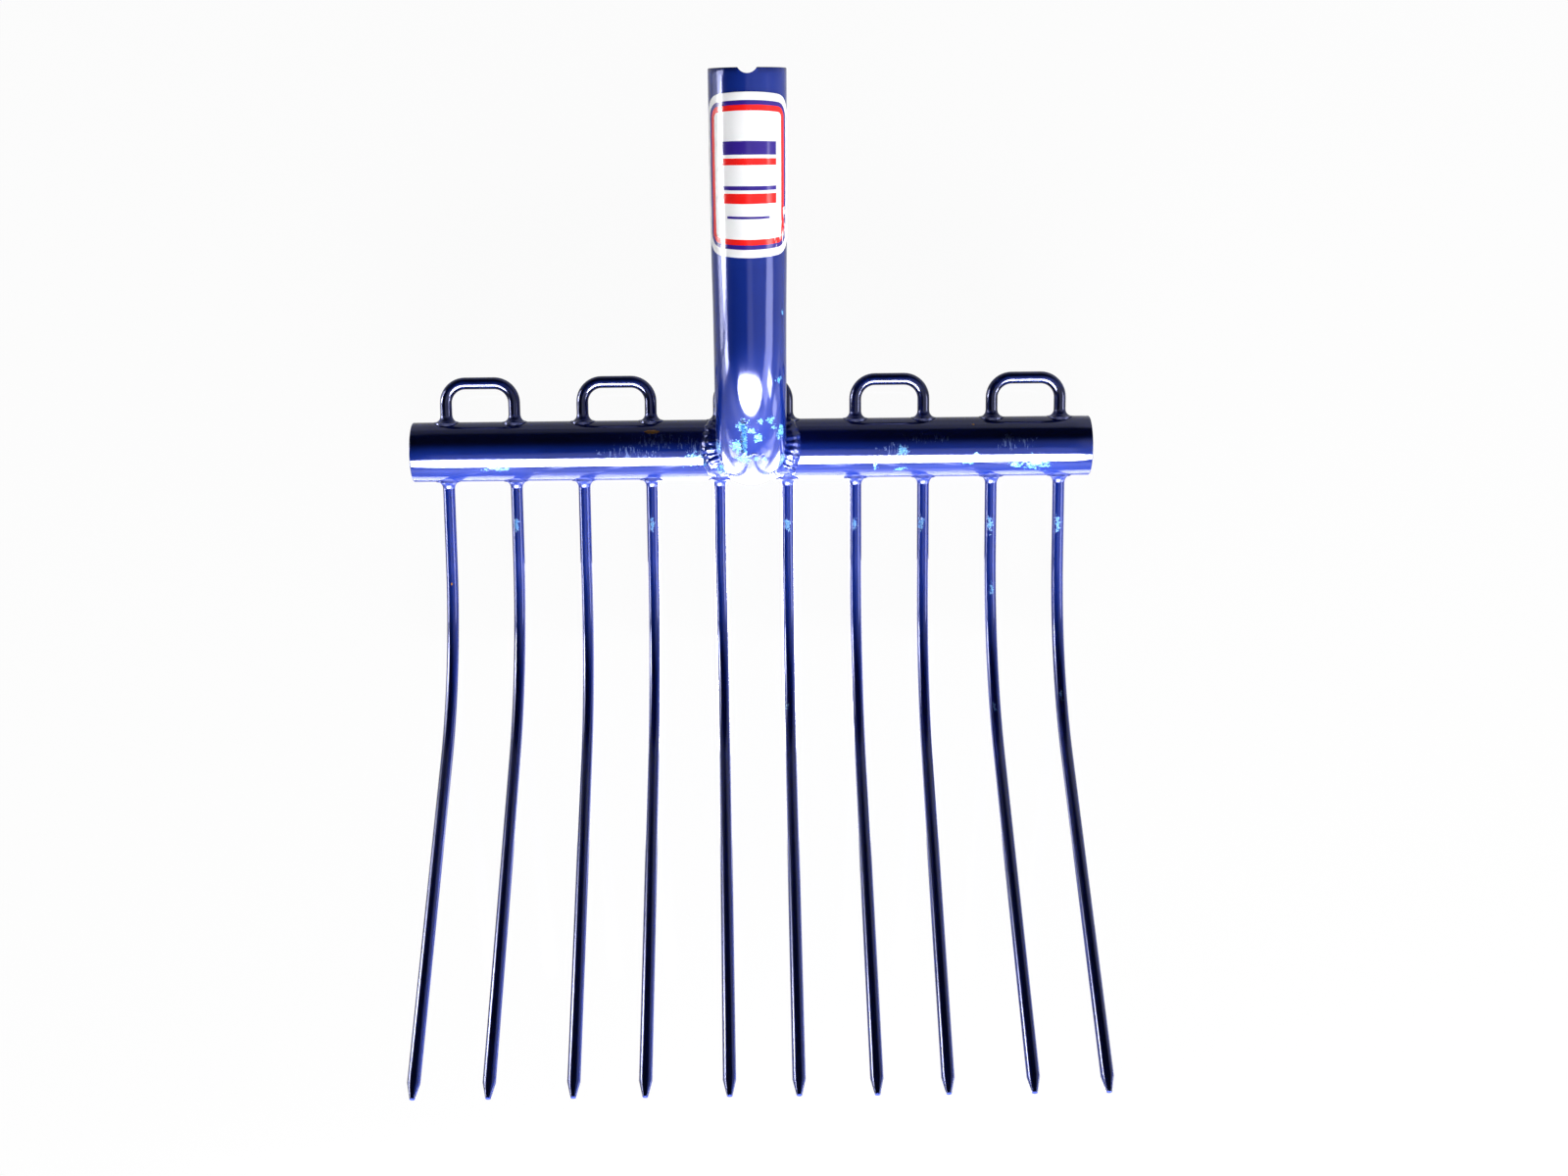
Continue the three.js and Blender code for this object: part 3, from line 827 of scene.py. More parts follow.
def label_material(sizes, colours):
    """White gloss film with a printed frame and plain bars, rubbed at one corner."""
    material, nodes, skin = new_material("Label film")
    sheet = nodes.add("ShaderNodeUVMap", uv_map="Sheet").outputs[0]
    place = nodes.vector("SUBTRACT", sheet, (0.5, 0.5, 0))
    place = nodes.vector("MULTIPLY", place, (sizes.wide, sizes.long, 0))
    half = (sizes.wide / 2, sizes.long / 2, 0)

    def printed(frame_line, bars):
        """A frame's line and plain bars, as one mask."""
        inset, line = metres(*frame_line)
        frame = {"Place": place, "Half size": half, "Corner": sizes.corner, "Inset": inset, "Line": line}
        masks = [nodes.group("Round frame", frame)]
        for height, wide, high in bars:
            bar = {"Place": place, "Centre": metres(0, height, 0), "Half size": (*metres(wide, high), 1)}
            masks.append(nodes.group("Printed bar", bar))
        return nodes.most(masks)

    ink = nodes.blend(printed(*RED_PRINT), rgba(colours.film), rgba(colours.print_red))
    ink = nodes.blend(printed(*NAVY_PRINT), ink, rgba(colours.print_navy))
    patch = nodes.group("Worn spot", {"Place": place, **RUBBED_CORNER})
    rubbed = nodes.group("Scratches", {"Place": place, "Patch": patch, **FILM_SCRATCHES})
    ink = nodes.blend(rubbed, ink, rgba(colours.film))
    gloss = nodes.ramp(nodes.noise(place, *FILM_GRAIN), *FILM_ROUGHNESS)
    rough = nodes.math("ADD", gloss, nodes.times(rubbed, WORN_ROUGHER))
    waves = {"Place": place, **FILM_WAVES, "Chips": rubbed}
    nodes.finish(skin, ink, rough, nodes.group("Orange peel", waves))
    return material


# Crossbar


def build_crossbar(sizes, rods, colours):
    """The crossbar's tube: a ring drawn along X, given its wall, its holes and its rounded ends."""
    left = BAR_CENTRE - ACROSS * BAR_LENGTH / 2
    tube = start_ring("crossbar", BAR_RADIUS, sizes.sides, left, (0, QUARTER, 0))
    marks = sorted(x + side * rods.diameter for x in TINE_X for side in (-1, 1))
    here = left.x
    for mark in [*marks, BAR_HIGH.x]:
        extrude(ACROSS * (mark - here))
        here = mark
    face_outwards()
    give_wall(tube, sizes.wall, sizes.edge, steps=3)
    radius = rods.diameter / 2 + sizes.hole_gap
    leaned = (rods.lean - QUARTER, 0, 0)
    holes = [
        add_cylinder("rod_hole", radius, BAR_RADIUS * 3, at_tine(tine), leaned, rods.sides)
        for tine in range(TINE_COUNT)
    ]
    only(*holes)
    bpy.ops.object.join()
    cut(tube, holes[0])
    remove(holes[0])
    material = coat_material("crossbar", colours.navy, colours, BAR_CHIPS, BAR_SMUDGES, BAR_SOIL)
    finish_piece(tube, material, "navy_coat", "crossbar_tube")


def build_plugs(sizes, colours):
    """The plugs in the crossbar's ends: a dished cup, made for the right end and turned for the left."""
    radius = BAR_RADIUS - sizes.wall - sizes.plug_gap
    skirt = radius - sizes.plug_wall
    face_depth = sizes.plug_wall * PLUG_FACE_DEPTH
    rim = Vector((BAR_HIGH.x, BAR_CENTRE.y, BAR_CENTRE.z))
    back = rim - ACROSS * sizes.plug_depth
    face = rim - ACROSS * face_depth
    stations = [
        (back, skirt),
        (back, radius - sizes.edge),
        (back + ACROSS * sizes.edge, radius),
        (rim - ACROSS * sizes.edge, radius),
        (rim, radius - sizes.edge),
        (rim, skirt),
        (rim - ACROSS * sizes.plug_dish, radius - face_depth),
    ]
    plug = start_ring("crossbar_plug_right_cap", skirt, PLUG_SIDES, rim, (0, QUARTER, 0))
    bpy.ops.transform.translate(value=face - rim)
    here, wide = face, skirt
    for place, half in stations:
        extrude(place - here)
        grow = half / wide
        resize((1, grow, grow), place)
        here, wide = place, half
    close_mesh(merge=False)
    other = copy_of(plug, "crossbar_plug_left_cap")
    place_mesh(other, (BAR_CENTRE.x * 2, BAR_CENTRE.y * 2, 0), (0, 0, math.pi))
    material = plug_material(colours.plug)
    finish_piece(plug, material, "plug_plastic", "crossbar_plug_right")
    finish_piece(other, material, "plug_plastic", "crossbar_plug_left")


# Rods


def drift_of(tine):
    """How far the point of a tine stands aside of its even place, read from the frame."""
    mesh = frame["nodes"][f"tine_pair_{tine // 2 + 1}"].data
    leg = [point.co for point in mesh.vertices if abs(point.co.x - TINE_X[tine]) < TINE_PITCH / 2]
    end = min(co.y for co in leg)
    tip = [co.x for co in leg if co.y < end + MM]
    return (min(tip) + max(tip)) / 2 - TINE_X[tine]


def build_rods(sizes, colours):
    """One rod drawn from the left point to the right one through its loop, then copied and leaned."""
    radius = sizes.diameter / 2
    along, square = along_at(sizes.lean), square_at(sizes.lean)
    heading = Vector((0, -math.cos(sizes.rise), math.sin(sizes.rise)))
    left = Vector((-TINE_PITCH / 2, BAR_CENTRE.y, BAR_CENTRE.z))
    right = left + ACROSS * TINE_PITCH
    fall = sizes.bend_radius * (1 - math.cos(sizes.lean))
    bend_start = (BAR_RADIUS - radius - fall) / math.sin(sizes.lean)
    bend_centre = square * sizes.bend_radius - along * bend_start
    bend_end = bend_centre + Vector((0, -math.sin(sizes.rise), -math.cos(sizes.rise))) * sizes.bend_radius
    point = left + bend_end + heading * sizes.lower_length
    corner_start = sizes.loop_reach - sizes.loop_corner
    bend = sizes.rise + sizes.lean
    grow = sizes.diameter / sizes.point_diameter
    lower = sizes.lower_length - sizes.point_length
    turned = (-QUARTER - sizes.rise, 0, 0)
    rod = start_ring("tine_rod", sizes.point_diameter / 2, sizes.sides, point, turned)
    shoulder = point - heading * sizes.point_length
    extrude(shoulder - point)
    resize((grow, grow, grow), shoulder)
    extrude(-heading * lower)
    spin(bend, BEND_STEPS, left + bend_centre, ACROSS)
    extrude(along * (bend_start + corner_start))
    spin(-QUARTER, LOOP_CORNER_STEPS, left + along * corner_start + ACROSS * sizes.loop_corner, square)
    extrude(ACROSS * (TINE_PITCH - sizes.loop_corner * 2))
    spin(-QUARTER, LOOP_CORNER_STEPS, right + along * corner_start - ACROSS * sizes.loop_corner, square)
    extrude(-along * (bend_start + corner_start))
    spin(-bend, BEND_STEPS, right + bend_centre, ACROSS)
    extrude(heading * lower)
    extrude(heading * sizes.point_length)
    resize((1 / grow,) * 3, point + ACROSS * TINE_PITCH)
    close_mesh()
    bend_y = BAR_CENTRE.y - bend_start * math.cos(sizes.lean)
    run = bend_y - point.y
    marks = {"chips_and_highlight": TINE_CHIPS, "soil": TINE_SOIL}
    material = coat_material("rods", colours.navy, colours, **marks, peel=0.00001, gloss=(0.10, 0.16))
    for pair in range(ROD_COUNT):
        piece = copy_of(rod, f"tine_rod_{pair + 1}")
        tines = (pair * 2, pair * 2 + 1)
        place_mesh(piece, ACROSS * (TINE_X[tines[0]] + TINE_X[tines[1]]) / 2)
        bpy.ops.object.mode_set(mode="EDIT")
        for tine in tines:
            x = TINE_X[tine]
            select_where(piece, lambda co: abs(co.x - x) < TINE_PITCH / 4 and co.y < bend_y)
            turn(math.atan2(drift_of(tine), run), "Z", Vector((x, bend_y, BAR_CENTRE.z)))
        bpy.ops.object.mode_set(mode="OBJECT")
        finish_piece(piece, material, "navy_coat", f"tine_pair_{pair + 1}")
    remove(rod)


def build_rod_welds(sizes, rods, colours):
    """One weld collar with its hollow fillet, copied to both sides of each rod and cut to the bar."""
    radius = rods.diameter / 2
    inner = radius - sizes.seat
    foot = BAR_RADIUS - COLLAR_FOOT
    wide = radius + sizes.fillet
    stations = [(foot, wide), (BAR_RADIUS, wide)]
    for step in range(1, sizes.fillet_steps + 1):
        bearing = QUARTER * step / sizes.fillet_steps
        out = radius + sizes.fillet * (1 - math.sin(bearing))
        stations.append((BAR_RADIUS + sizes.fillet * (1 - math.cos(bearing)), out))
    stations += [(BAR_RADIUS + sizes.fillet, inner), (foot, inner)]
    collar = start_ring("rod_weld", inner, COLLAR_SIDES, (0, 0, foot))
    here, half = foot, inner
    for height, out in stations:
        extrude(UP * (height - here))
        grow = out / half
        resize((grow, grow, 1), Vector((0, 0, height)))
        here, half = height, out
    close_mesh()
    lumps = cloud_texture("Weld lumps", sizes.lump_width)
    draw = random.Random(COLLAR_SEED)
    material = coat_material("rod welds", colours.weld, colours, WELD_CHIPS, gloss=(0.26, 0.34))
    block = bar_cutter(sizes.seat)
    for tine in range(TINE_COUNT):
        for kind, lean in (("tine", rods.lean + QUARTER), ("loop", rods.lean - QUARTER)):
            piece = copy_of(collar, f"{kind}_weld_{tine + 1}_bead")
            place_mesh(piece, (0, 0, 0), (0, 0, draw.uniform(0, math.tau)))
            make_lumpy(piece, lumps, sizes.lump)
            place_mesh(piece, at_tine(tine), (lean, 0, 0))
            cut(piece, block)
            finish_piece(piece, material, "weld_coat", f"{kind}_weld_{tine + 1}", smooth=BEAD_SMOOTH)
    remove(collar, block)


# Socket


def drawn_width(along):
    """How wide the tube still is at a share of its length, where the elbow has drawn it in."""
    for (start, wide_start), (end, wide_end) in zip(DRAWN_IN, DRAWN_IN[1:]):
        if along <= end:
            part = (along - start) / (end - start)
            return wide_start + (wide_end - wide_start) * part
    return 1.0


def socket_length(sizes):
    elbow = sizes.elbow_radius * (QUARTER - sizes.lean)
    return sizes.straight + elbow + sizes.elbow_height - sizes.skirt_height


def socket_station(sizes, distance):
    """Centre, lean, half size and width of the socket's section at a distance from its rim."""
    elbow = sizes.elbow_radius * (QUARTER - sizes.lean)
    lean = sizes.lean + min(max(distance - sizes.straight, 0) / sizes.elbow_radius, QUARTER - sizes.lean)
    back = sizes.elbow_radius * (1 - math.sin(lean))
    height = sizes.elbow_height + sizes.elbow_radius * math.cos(lean)
    centre = BAR_CENTRE + Vector((0, back, height))
    centre += along_at(sizes.lean) * (sizes.straight - min(distance, sizes.straight))
    centre -= UP * max(distance - sizes.straight - elbow, 0)
    width = drawn_width(min(max(distance / socket_length(sizes), 0), 1))
    return centre, lean, sizes.diameter / 2 * (2 - width), width / (2 - width)


def socket_skin(sizes, name, ends=0.0, inset=0.0):
    """The socket's outside as an open skin, longer at both ends and smaller by an inset if asked."""
    whole = socket_length(sizes)
    inner = [whole * step / SOCKET_STEPS for step in range(1, SOCKET_STEPS)]
    stations = []
    for distance in [-ends, *inner, whole + ends]:
        centre, lean, half, wide = socket_station(sizes, distance)
        stations.append((centre - along_at(lean) * min(distance, 0), lean, half - inset, wide))
    place, lean, half, wide = stations[0]
    skin = start_ring(name, half, sizes.sides, place, (lean + QUARTER, 0, 0))
    resize((wide, 1, 1), place)
    sweep(stations, "X")
    return skin


def build_socket(sizes, colours):
    """The handle's socket: a ring drawn down the straight and round the elbow, walled and notched."""
    tube = socket_skin(sizes, "socket")
    face_outwards()
    give_wall(tube, sizes.wall, sizes.edge, steps=2)
    rim, lean, _, _ = socket_station(sizes, 0)
    beyond = rim + along_at(lean) * sizes.notch_beyond
    radius = sizes.notch_diameter / 2
    notch = add_cylinder("notch", radius, sizes.diameter * 2, beyond, (lean, 0, 0), NOTCH_SIDES)
    block = bar_cutter(0)
    cut(tube, notch, block)
    remove(notch, block)
    material = coat_material("socket", colours.navy, colours, NECK_CHIPS, gloss=(0.11, 0.16))
    finish_piece(tube, material, "navy_coat", "socket_neck")


def build_socket_weld(sizes, socket, colours):
    """The bead round the saddle, rippled like laid weld, and the seam up the elbow's outer face."""
    radius = socket.diameter / 2
    skirt_from = math.sqrt(BAR_RADIUS**2 - socket.skirt_height**2)
    draw = random.Random(BEAD_SEED)
    per_ripple = len(BEAD_RIPPLE)
    lumps = [draw.uniform(*BEAD_UNEVEN) for _ in range(BEAD_STEPS // per_ripple)]
    stations = []
    for step in range(BEAD_STEPS):
        bearing = math.tau * step / BEAD_STEPS
        across = radius * abs(math.sin(bearing))
        on_bar = math.sqrt(BAR_RADIUS**2 - across**2) if across < skirt_from else socket.skirt_height
        off_side = abs(math.asin(min(1, max(-1, math.sin(bearing)))))
        part = min(max((BEAD_SKIRT_AT - off_side) / BEAD_EASE, 0), 1)
        part = part * part * (3 - 2 * part)
        half = sizes.bead_skirt_radius + (sizes.bead_radius - sizes.bead_skirt_radius) * part
        half *= lumps[step // per_ripple] * BEAD_RIPPLE[step % per_ripple]
        reach = radius + (sizes.bead_step + sizes.bead_tuck) * part - sizes.bead_tuck
        lift = sizes.bead_step * part
        centre = BAR_CENTRE + Vector((math.cos(bearing) * reach, math.sin(bearing) * reach, on_bar + lift))
        stations.append((centre, bearing, half, 1))
    stations.append((stations[0][0], math.tau, stations[0][2], 1))
    bead = closed_bead("socket_weld_bead", stations, BEAD_SIDES, (QUARTER, 0, 0), "Z")
    add_modifier(bead, "REMESH", mode="VOXEL", voxel_size=sizes.bead_grain, use_smooth_shade=True)
    make_lumpy(bead, cloud_texture("Bead lumps", sizes.lump_width), sizes.lump * 2)
    block = bar_cutter(sizes.seat)
    core = socket_skin(socket, "core", sizes.seat, sizes.seat)
    close_mesh()
    cut(bead, core, block)
    remove(core, block)
    material = coat_material("socket weld", colours.weld, colours, WELD_CHIPS + NECK_CHIPS)
    finish_piece(bead, material, "weld_coat", "neck_weld", smooth=BEAD_SMOOTH)
    build_seam(sizes, socket, colours)


def elbow_face(socket, lean, aside):
    """A point on the elbow's outer face, at a lean and a distance aside, and the direction it faces."""
    distance = socket.straight + (lean - socket.lean) * socket.elbow_radius
    centre, _, half, wide = socket_station(socket, distance)
    bearing = math.asin(aside / (half * wide))
    upward = math.cos(bearing)
    facing = Vector((math.sin(bearing), -upward * math.sin(lean), upward * math.cos(lean)))
    return centre + ACROSS * aside + square_at(lean) * half * upward, facing


def build_seam(sizes, socket, colours):
    """The short rippled seam down the elbow's outer face, with the lip at its foot. The seam is coloured
    pale along its length, a painted highlight of its ripples.
    """
    radius = sizes.seam_radius
    sunk = radius * SEAM_SUNK
    along = (sizes.seam_to - sizes.seam_from) * (socket.elbow_radius + socket.diameter / 2)
    steps = round(along / sizes.seam_ripple) * len(SEAM_RIPPLE)
    draw = random.Random(SEAM_SEED)
    stations = []
    for step in range(steps + 1):
        lean = sizes.seam_from + (sizes.seam_to - sizes.seam_from) * step / steps
        aside = draw.uniform(-SEAM_STRAY, SEAM_STRAY) * MM - sizes.seam_aside
        place, facing = elbow_face(socket, lean, aside)
        end = min(step, steps - step, SEAM_END_RINGS) / SEAM_END_RINGS * (1 - SEAM_END) + SEAM_END
        half = radius * SEAM_RIPPLE[step % len(SEAM_RIPPLE)] * end
        stations.append((place - facing * sunk, lean, half, 1))
    upright = (stations[0][1] + QUARTER, 0, 0)
    seam = closed_bead("socket_seam_bead", stations, SEAM_SIDES, upright, "X")
    stations = []
    for step in range(LIP_STEPS + 1):
        part = step / LIP_STEPS
        lean = sizes.seam_to + LIP_WAVE * math.sin(part * LIP_WAVES)
        place, facing = elbow_face(socket, lean, sizes.lip_long * part - sizes.seam_aside)
        half = radius * (LIP_START - LIP_TAPER * part + LIP_LUMP * math.sin(step * LIP_LUMPS))
        stations.append((place - facing * sunk * LIP_SUNK, 0, half, 1))
    lip = closed_bead("lip", stations, LIP_SIDES, (0, QUARTER, 0), "X")
    only(seam, lip)
    bpy.ops.object.join()
    # The seam's painted highlight goes in with the neck's chipping.
    material = coat_material("seam", colours.weld, colours, SEAM_PAINTED_HIGHLIGHT + NECK_CHIPS)
    finish_piece(seam, material, "weld_coat", smooth=BEAD_SMOOTH)


# Label


def cut_strips(size, count, normal):
    """Cuts the sheet being edited into even strips square to a direction."""
    for strip in range(1, count):
        offset = size * (strip / count - 0.5)
        bpy.ops.mesh.select_all(action="SELECT")
        bpy.ops.mesh.bisect(plane_co=[offset * part for part in normal], plane_no=normal)


def build_label(sizes, socket, colours):
    """The label: a flat sheet with round corners, cut in strips and bent round the socket."""
    deselect()
    bpy.ops.mesh.primitive_plane_add(size=1)
    bpy.context.object.scale = (sizes.wide, sizes.long, 1)
    sheet = settle("socket_label_film")
    bpy.ops.object.mode_set(mode="EDIT")
    bpy.ops.mesh.select_all(action="SELECT")
    rounding = {"segments": SHEET_CORNER_STEPS, "affect": "VERTICES", "offset_type": "OFFSET"}
    bpy.ops.mesh.bevel(offset=sizes.corner, **rounding)
    cut_strips(sizes.wide, SHEET_STRIPS[0], (1, 0, 0))
    cut_strips(sizes.long, SHEET_STRIPS[1], (0, 1, 0))
    bpy.ops.object.mode_set(mode="OBJECT")
    mesh = sheet.data
    while mesh.uv_layers:
        mesh.uv_layers.remove(mesh.uv_layers[0])
    layer = mesh.uv_layers.new(name="Sheet")
    for loop in mesh.loops:
        co = mesh.vertices[loop.vertex_index].co
        layer.data[loop.index].uv = (co.x / sizes.wide + 0.5, co.y / sizes.long + 0.5)
    for point in mesh.vertices:
        x, y, _ = point.co
        y *= 1 - sizes.bow * (2 * x / sizes.wide) ** 2
        centre, lean, half, wide = socket_station(socket, sizes.from_rim + sizes.long / 2 - y)
        bearing = x / (socket.diameter / 2)
        corner = max(0, x / sizes.wide + 0.5 - LIFT_RIGHT_OF) * max(0, 0.5 - y / sizes.long - LIFT_BELOW)
        stand = sizes.stand + sizes.lift * corner * LIFT_STEEPNESS
        point.co = centre + ACROSS * math.sin(bearing) * (half * wide + stand)
        point.co += square_at(lean) * math.cos(bearing) * (half + stand)
    add_modifier(sheet, "SOLIDIFY", thickness=sizes.thickness, offset=1)
    finish_piece(sheet, label_material(sizes, colours), "label_film", "socket_label")


# Stage

# The world's steps by direction, each from one height to another: where it starts, where it ends and the
# level at both
SKY_FRONT = (0.2, 0.75)
SKY_HORIZON = (0.1, 0.42, 2.4, 0.0)
SKY_OVERHEAD = (0.965, 0.995, 0.02, 1.3)
SKY_ASIDE = (-0.05, 0.3, 0.35, 0.9)
SKY_BEHIND = (0.2, 0.45, 1.0, 0.0)
SKY_BEHIND_DEPTH = (0.1, 0.4)
SKY_ABOVE_RIGHT = (0.0, 0.35)
SKY_ABOVE_DEPTH = (0.1, 0.5, 0.7, 0.0)
OVERHEAD_AT = Vector((0.05, -0.38, 0.92)).normalized()
DIFFUSE_DIM = 0.06
FLOOR_FINISH = {"Base Color": rgba((0.7, 0.7, 0.7)), "Roughness": 0.08, "IOR": 2.4}

# The lamps: a place from the floor under the crossbar's middle, where it faces (None is that middle),
# width, height and level. The first lights and isn't mirrored, the others are mirrored and light nothing.
KEY_LAMP = ("front_key", (0.3, -1.5, 0.32), None, 1.8, 0.22, 95.0)
MIRRORED_LAMPS = [
    ("front_softbox", (-0.05, -0.93, 0.765), None, 1.85, 0.7, 48.0),
    ("left_strip", (-0.9, 0.075, 0.15), ACROSS, 0.17, 0.24, 45.0),
    ("far_left_strip", (-0.9, 0.26, 0.20), ACROSS, 0.2, 0.4, 9.0),
    ("low_left_strip", (-0.9, -0.14, 0.12), ACROSS, 0.18, 0.2, 22.0),
    ("right_strip", (0.9, -0.44, 0.25), -ACROSS, 0.22, 0.3, 30.0),
    ("right_softbox", (0.95, -0.42, 0.48), None, 0.9, 0.5, 6.0),
    ("table_near", (0, -0.086, 0.0005), UP, 0.1, 0.148, 7.0),
    ("table_far", (0, -0.135, 0.0004), UP, 0.26, 0.15, 2.5),
]
LAMP_SHAPES = {"front_softbox": "ELLIPSE"}
LAMP_SPREADS = {"table_near": math.radians(80)}


def floor_material(white, mirrored):
    """A pale glossy floor that is seen as plain white, and keeps part of the shadow."""
    material, nodes, skin = new_material("Pale floor")
    ray = nodes.add("ShaderNodeLightPath").outputs
    seen = nodes.math("MAXIMUM", ray["Is Camera Ray"], ray["Is Transmission Ray"])
    seen = nodes.times(seen, white)
    amount = nodes.math("MAXIMUM", seen, nodes.times(ray["Is Glossy Ray"], mirrored))
    for name, value in FLOOR_FINISH.items():
        skin.inputs[name].default_value = value
    glow = nodes.add("ShaderNodeEmission", {"Color": rgba((1, 1, 1)), "Strength": 1.0})
    mixed = nodes.add("ShaderNodeMixShader", {0: amount, 1: skin.outputs[0], 2: glow.outputs[0]})
    out = material.node_tree.nodes["Material Output"]
    nodes.links.new(mixed.outputs[0], out.inputs[0])
    return material


def build_world(white):
    """A dark ceiling with a patch overhead and a pale horizon, which the camera sees as plain white."""
    world = bpy.data.worlds.new("Studio")
    bpy.context.scene.world = world
    world.use_nodes = True
    nodes = Tree(world.node_tree)
    sky = world.node_tree.nodes["Background"]
    direction = nodes.add("ShaderNodeTexCoord").outputs["Generated"]
    x, y, z = nodes.add("ShaderNodeSeparateXYZ", {0: direction}).outputs
    front = nodes.ramp(nodes.times(y, -1.0), *SKY_FRONT)
    horizon = nodes.times(nodes.ramp(z, *SKY_HORIZON), front)
    overhead = nodes.vector("DOT_PRODUCT", direction, OVERHEAD_AT, output="Value")
    overhead = nodes.ramp(overhead, *SKY_OVERHEAD)
    behind = nodes.times(nodes.ramp(z, *SKY_BEHIND), nodes.ramp(y, *SKY_BEHIND_DEPTH))
    behind = nodes.times(behind, nodes.ramp(x, *SKY_ASIDE))
    above = nodes.times(nodes.ramp(x, *SKY_ABOVE_RIGHT), nodes.ramp(y, *SKY_ABOVE_DEPTH))
    ray = nodes.add("ShaderNodeLightPath").outputs
    dim = nodes.ramp(ray["Is Glossy Ray"], 0.0, 1.0, DIFFUSE_DIM, 1.0)
    level = nodes.times(nodes.most([horizon, overhead, behind, above]), dim)
    level = nodes.math("MAXIMUM", level, nodes.times(ray["Is Camera Ray"], white))
    nodes.links.new(level, sky.inputs["Strength"])
    sky.inputs["Color"].default_value = rgba((1, 1, 1))


def add_lamp(name, place, facing, width, height, level, mirrored):
    """An area lamp that is either mirrored or lights, and isn't itself seen by the camera."""
    middle = Vector((0, BAR_CENTRE.y, 0))
    place = middle + Vector(place)
    target = middle if facing is None else place + facing
    deselect()
    bpy.ops.object.light_add(type="AREA", location=place)
    lamp = bpy.context.object
    lamp.name = name
    lamp.data.shape = LAMP_SHAPES.get(name, "RECTANGLE")
    lamp.data.size = width
    lamp.data.size_y = height
    lamp.data.energy = level * math.pi * width * height
    lamp.data.spread = LAMP_SPREADS.get(name, math.pi)
    lamp.rotation_euler = (target - place).to_track_quat("-Z", "Y").to_euler()
    lamp.visible_camera = False
    lamp.visible_glossy = mirrored
    lamp.visible_diffuse = not mirrored


def build_stage(settings):
    """Floor, world, lamps and the camera, straight above the head."""
    deselect()
    bpy.ops.mesh.primitive_plane_add(size=settings.floor_size, location=(0, 0, 0))
    floor = bpy.context.object
    floor.name = "floor"
    floor.data.materials.append(floor_material(settings.floor_white, settings.floor_mirrored))
    build_world(settings.floor_white)
    add_lamp(*KEY_LAMP, mirrored=False)
    for lamp in MIRRORED_LAMPS:
        add_lamp(*lamp, mirrored=True)
    deselect()
    eye = BAR_CENTRE + Vector((0, -settings.camera_back, settings.camera_height))
    bpy.ops.object.camera_add(location=eye, rotation=(0, 0, settings.camera_turn))
    camera = bpy.context.object
    camera.data.lens = settings.lens
    camera.data.sensor_width = settings.sensor
    camera.data.shift_x = settings.shift
    bpy.context.scene.camera = camera
    bpy.context.scene.view_settings.view_transform = "Standard"


# Operators


def run_builder(build, context, *settings):
    """Builds from those settings of the scene."""
    build(*(getattr(context.scene, f"fork_{name}") for name in settings))
    return {"FINISHED"}


class BuildCrossbar(bpy.types.Operator):
    """Build the crossbar's tube"""

    bl_idname = "fork_head.crossbar"
    bl_label = "Crossbar"

    def execute(self, context):
        return run_builder(build_crossbar, context, "crossbar", "rods", "colours")


class BuildPlugs(bpy.types.Operator):
    """Build the plugs in the crossbar's ends"""

    bl_idname = "fork_head.plugs"
    bl_label = "Crossbar plugs"

    def execute(self, context):
        return run_builder(build_plugs, context, "crossbar", "colours")


class BuildRods(bpy.types.Operator):
    """Build the five bent rods with their tines and loops"""

    bl_idname = "fork_head.rods"
    bl_label = "Rods"

    def execute(self, context):
        return run_builder(build_rods, context, "rods", "colours")


class BuildRodWelds(bpy.types.Operator):
    """Build the welds between the rods and the crossbar"""

    bl_idname = "fork_head.rod_welds"
    bl_label = "Rod welds"

    def execute(self, context):
        return run_builder(build_rod_welds, context, "welds", "rods", "colours")


class BuildSocket(bpy.types.Operator):
    """Build the handle's socket"""

    bl_idname = "fork_head.socket"
    bl_label = "Socket"

    def execute(self, context):
        return run_builder(build_socket, context, "socket", "colours")


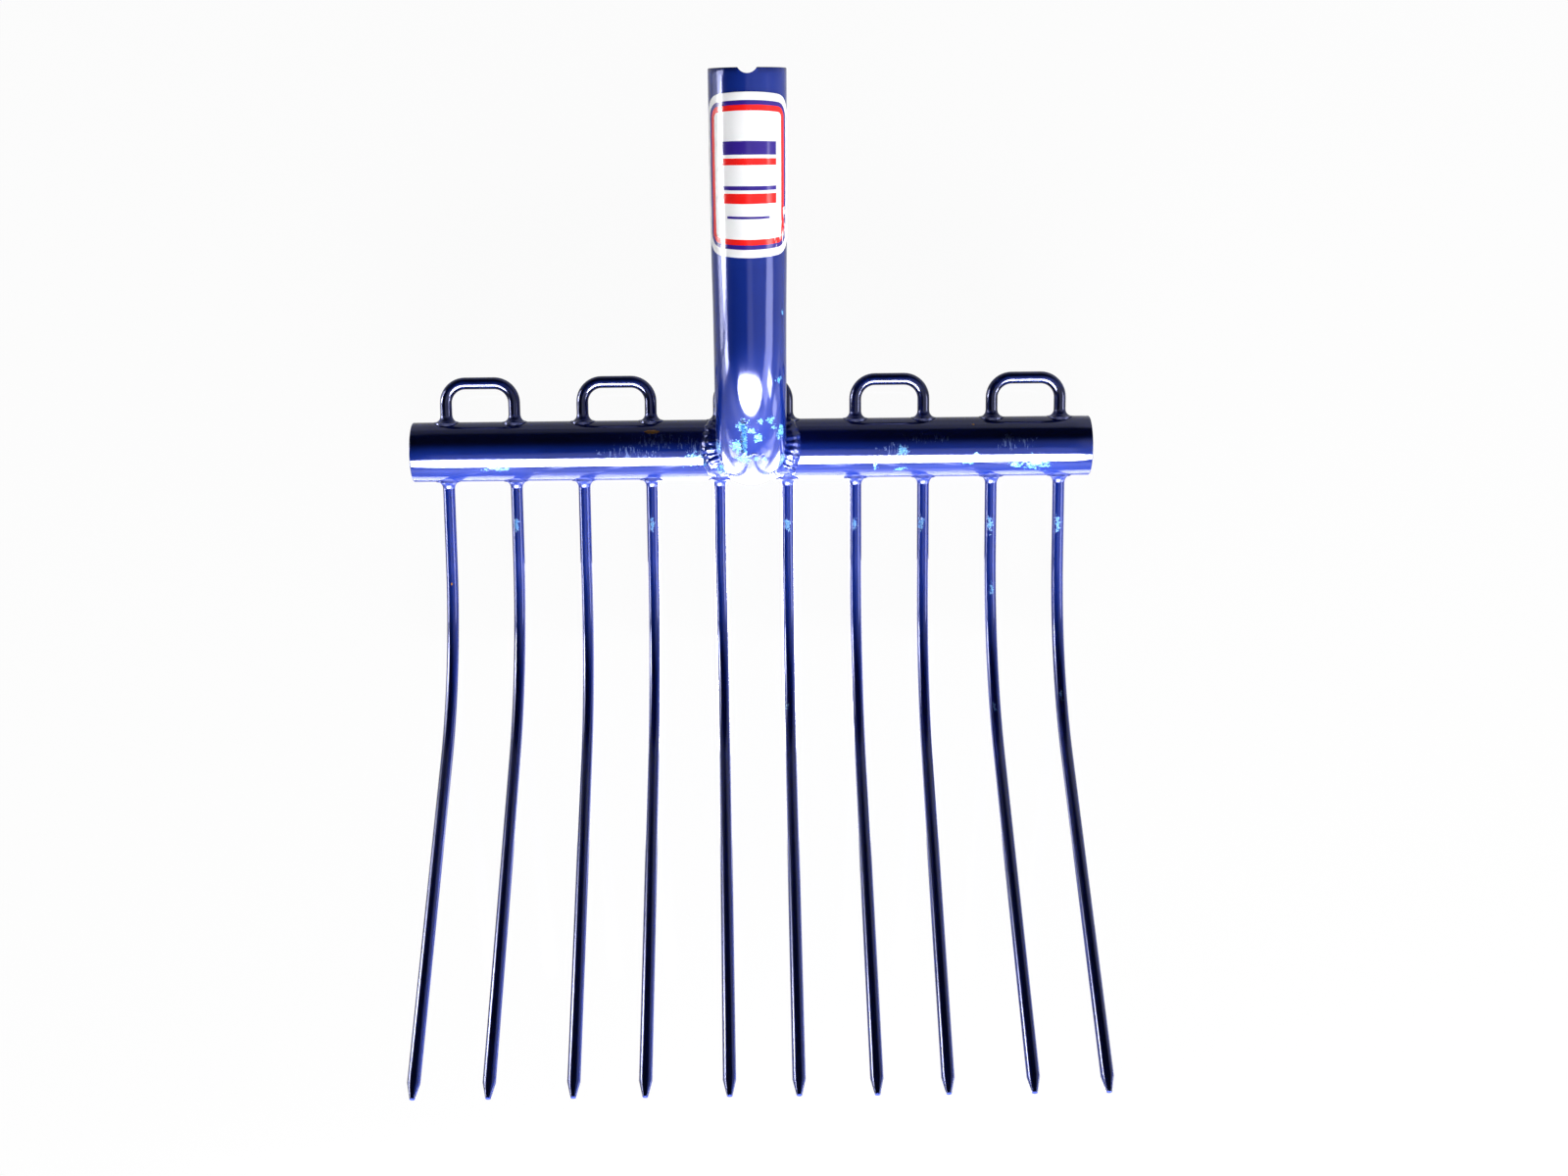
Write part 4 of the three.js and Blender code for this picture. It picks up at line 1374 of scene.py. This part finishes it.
class BuildSocketWeld(bpy.types.Operator):
    """Build the weld bead round the socket's saddle"""

    bl_idname = "fork_head.socket_weld"
    bl_label = "Socket weld"

    def execute(self, context):
        return run_builder(build_socket_weld, context, "welds", "socket", "colours")


class BuildLabel(bpy.types.Operator):
    """Build the label on the socket"""

    bl_idname = "fork_head.label"
    bl_label = "Label"

    def execute(self, context):
        return run_builder(build_label, context, "label", "socket", "colours")


class BuildStage(bpy.types.Operator):
    """Build the floor, the lamps and the camera"""

    bl_idname = "fork_head.stage"
    bl_label = "Stage"

    def execute(self, context):
        return run_builder(build_stage, context, "stage")


OPERATORS = (
    BuildCrossbar,
    BuildPlugs,
    BuildRods,
    BuildRodWelds,
    BuildSocket,
    BuildSocketWeld,
    BuildLabel,
    BuildStage,
)


class ForkHeadPanel(bpy.types.Panel):
    """Lists the head's pieces and their sizes"""

    bl_idname = "VIEW3D_PT_fork_head"
    bl_label = "Fork head"
    bl_space_type = "VIEW_3D"
    bl_region_type = "UI"
    bl_category = "Fork head"

    def draw(self, context):
        for operator in OPERATORS:
            self.layout.operator(operator.bl_idname)
        for name, kind in SETTINGS.items():
            box = self.layout.box()
            for field in kind.__annotations__:
                box.prop(getattr(context.scene, name), field)


def register():
    for kind in SETTINGS.values():
        bpy.utils.register_class(kind)
    for name, kind in SETTINGS.items():
        setattr(bpy.types.Scene, name, bpy.props.PointerProperty(type=kind))
    for operator in OPERATORS:
        bpy.utils.register_class(operator)
    bpy.utils.register_class(ForkHeadPanel)


def unregister():
    bpy.utils.unregister_class(ForkHeadPanel)
    for operator in reversed(OPERATORS):
        bpy.utils.unregister_class(operator)
    for name in SETTINGS:
        delattr(bpy.types.Scene, name)
    for kind in SETTINGS.values():
        bpy.utils.unregister_class(kind)


def main():
    """Builds every piece and the stage."""
    register()
    bpy.ops.fork_head.crossbar()
    bpy.ops.fork_head.plugs()
    bpy.ops.fork_head.rods()
    bpy.ops.fork_head.rod_welds()
    bpy.ops.fork_head.socket()
    bpy.ops.fork_head.socket_weld()
    bpy.ops.fork_head.label()
    bpy.ops.fork_head.stage()


if __name__ == "__main__":
    main()
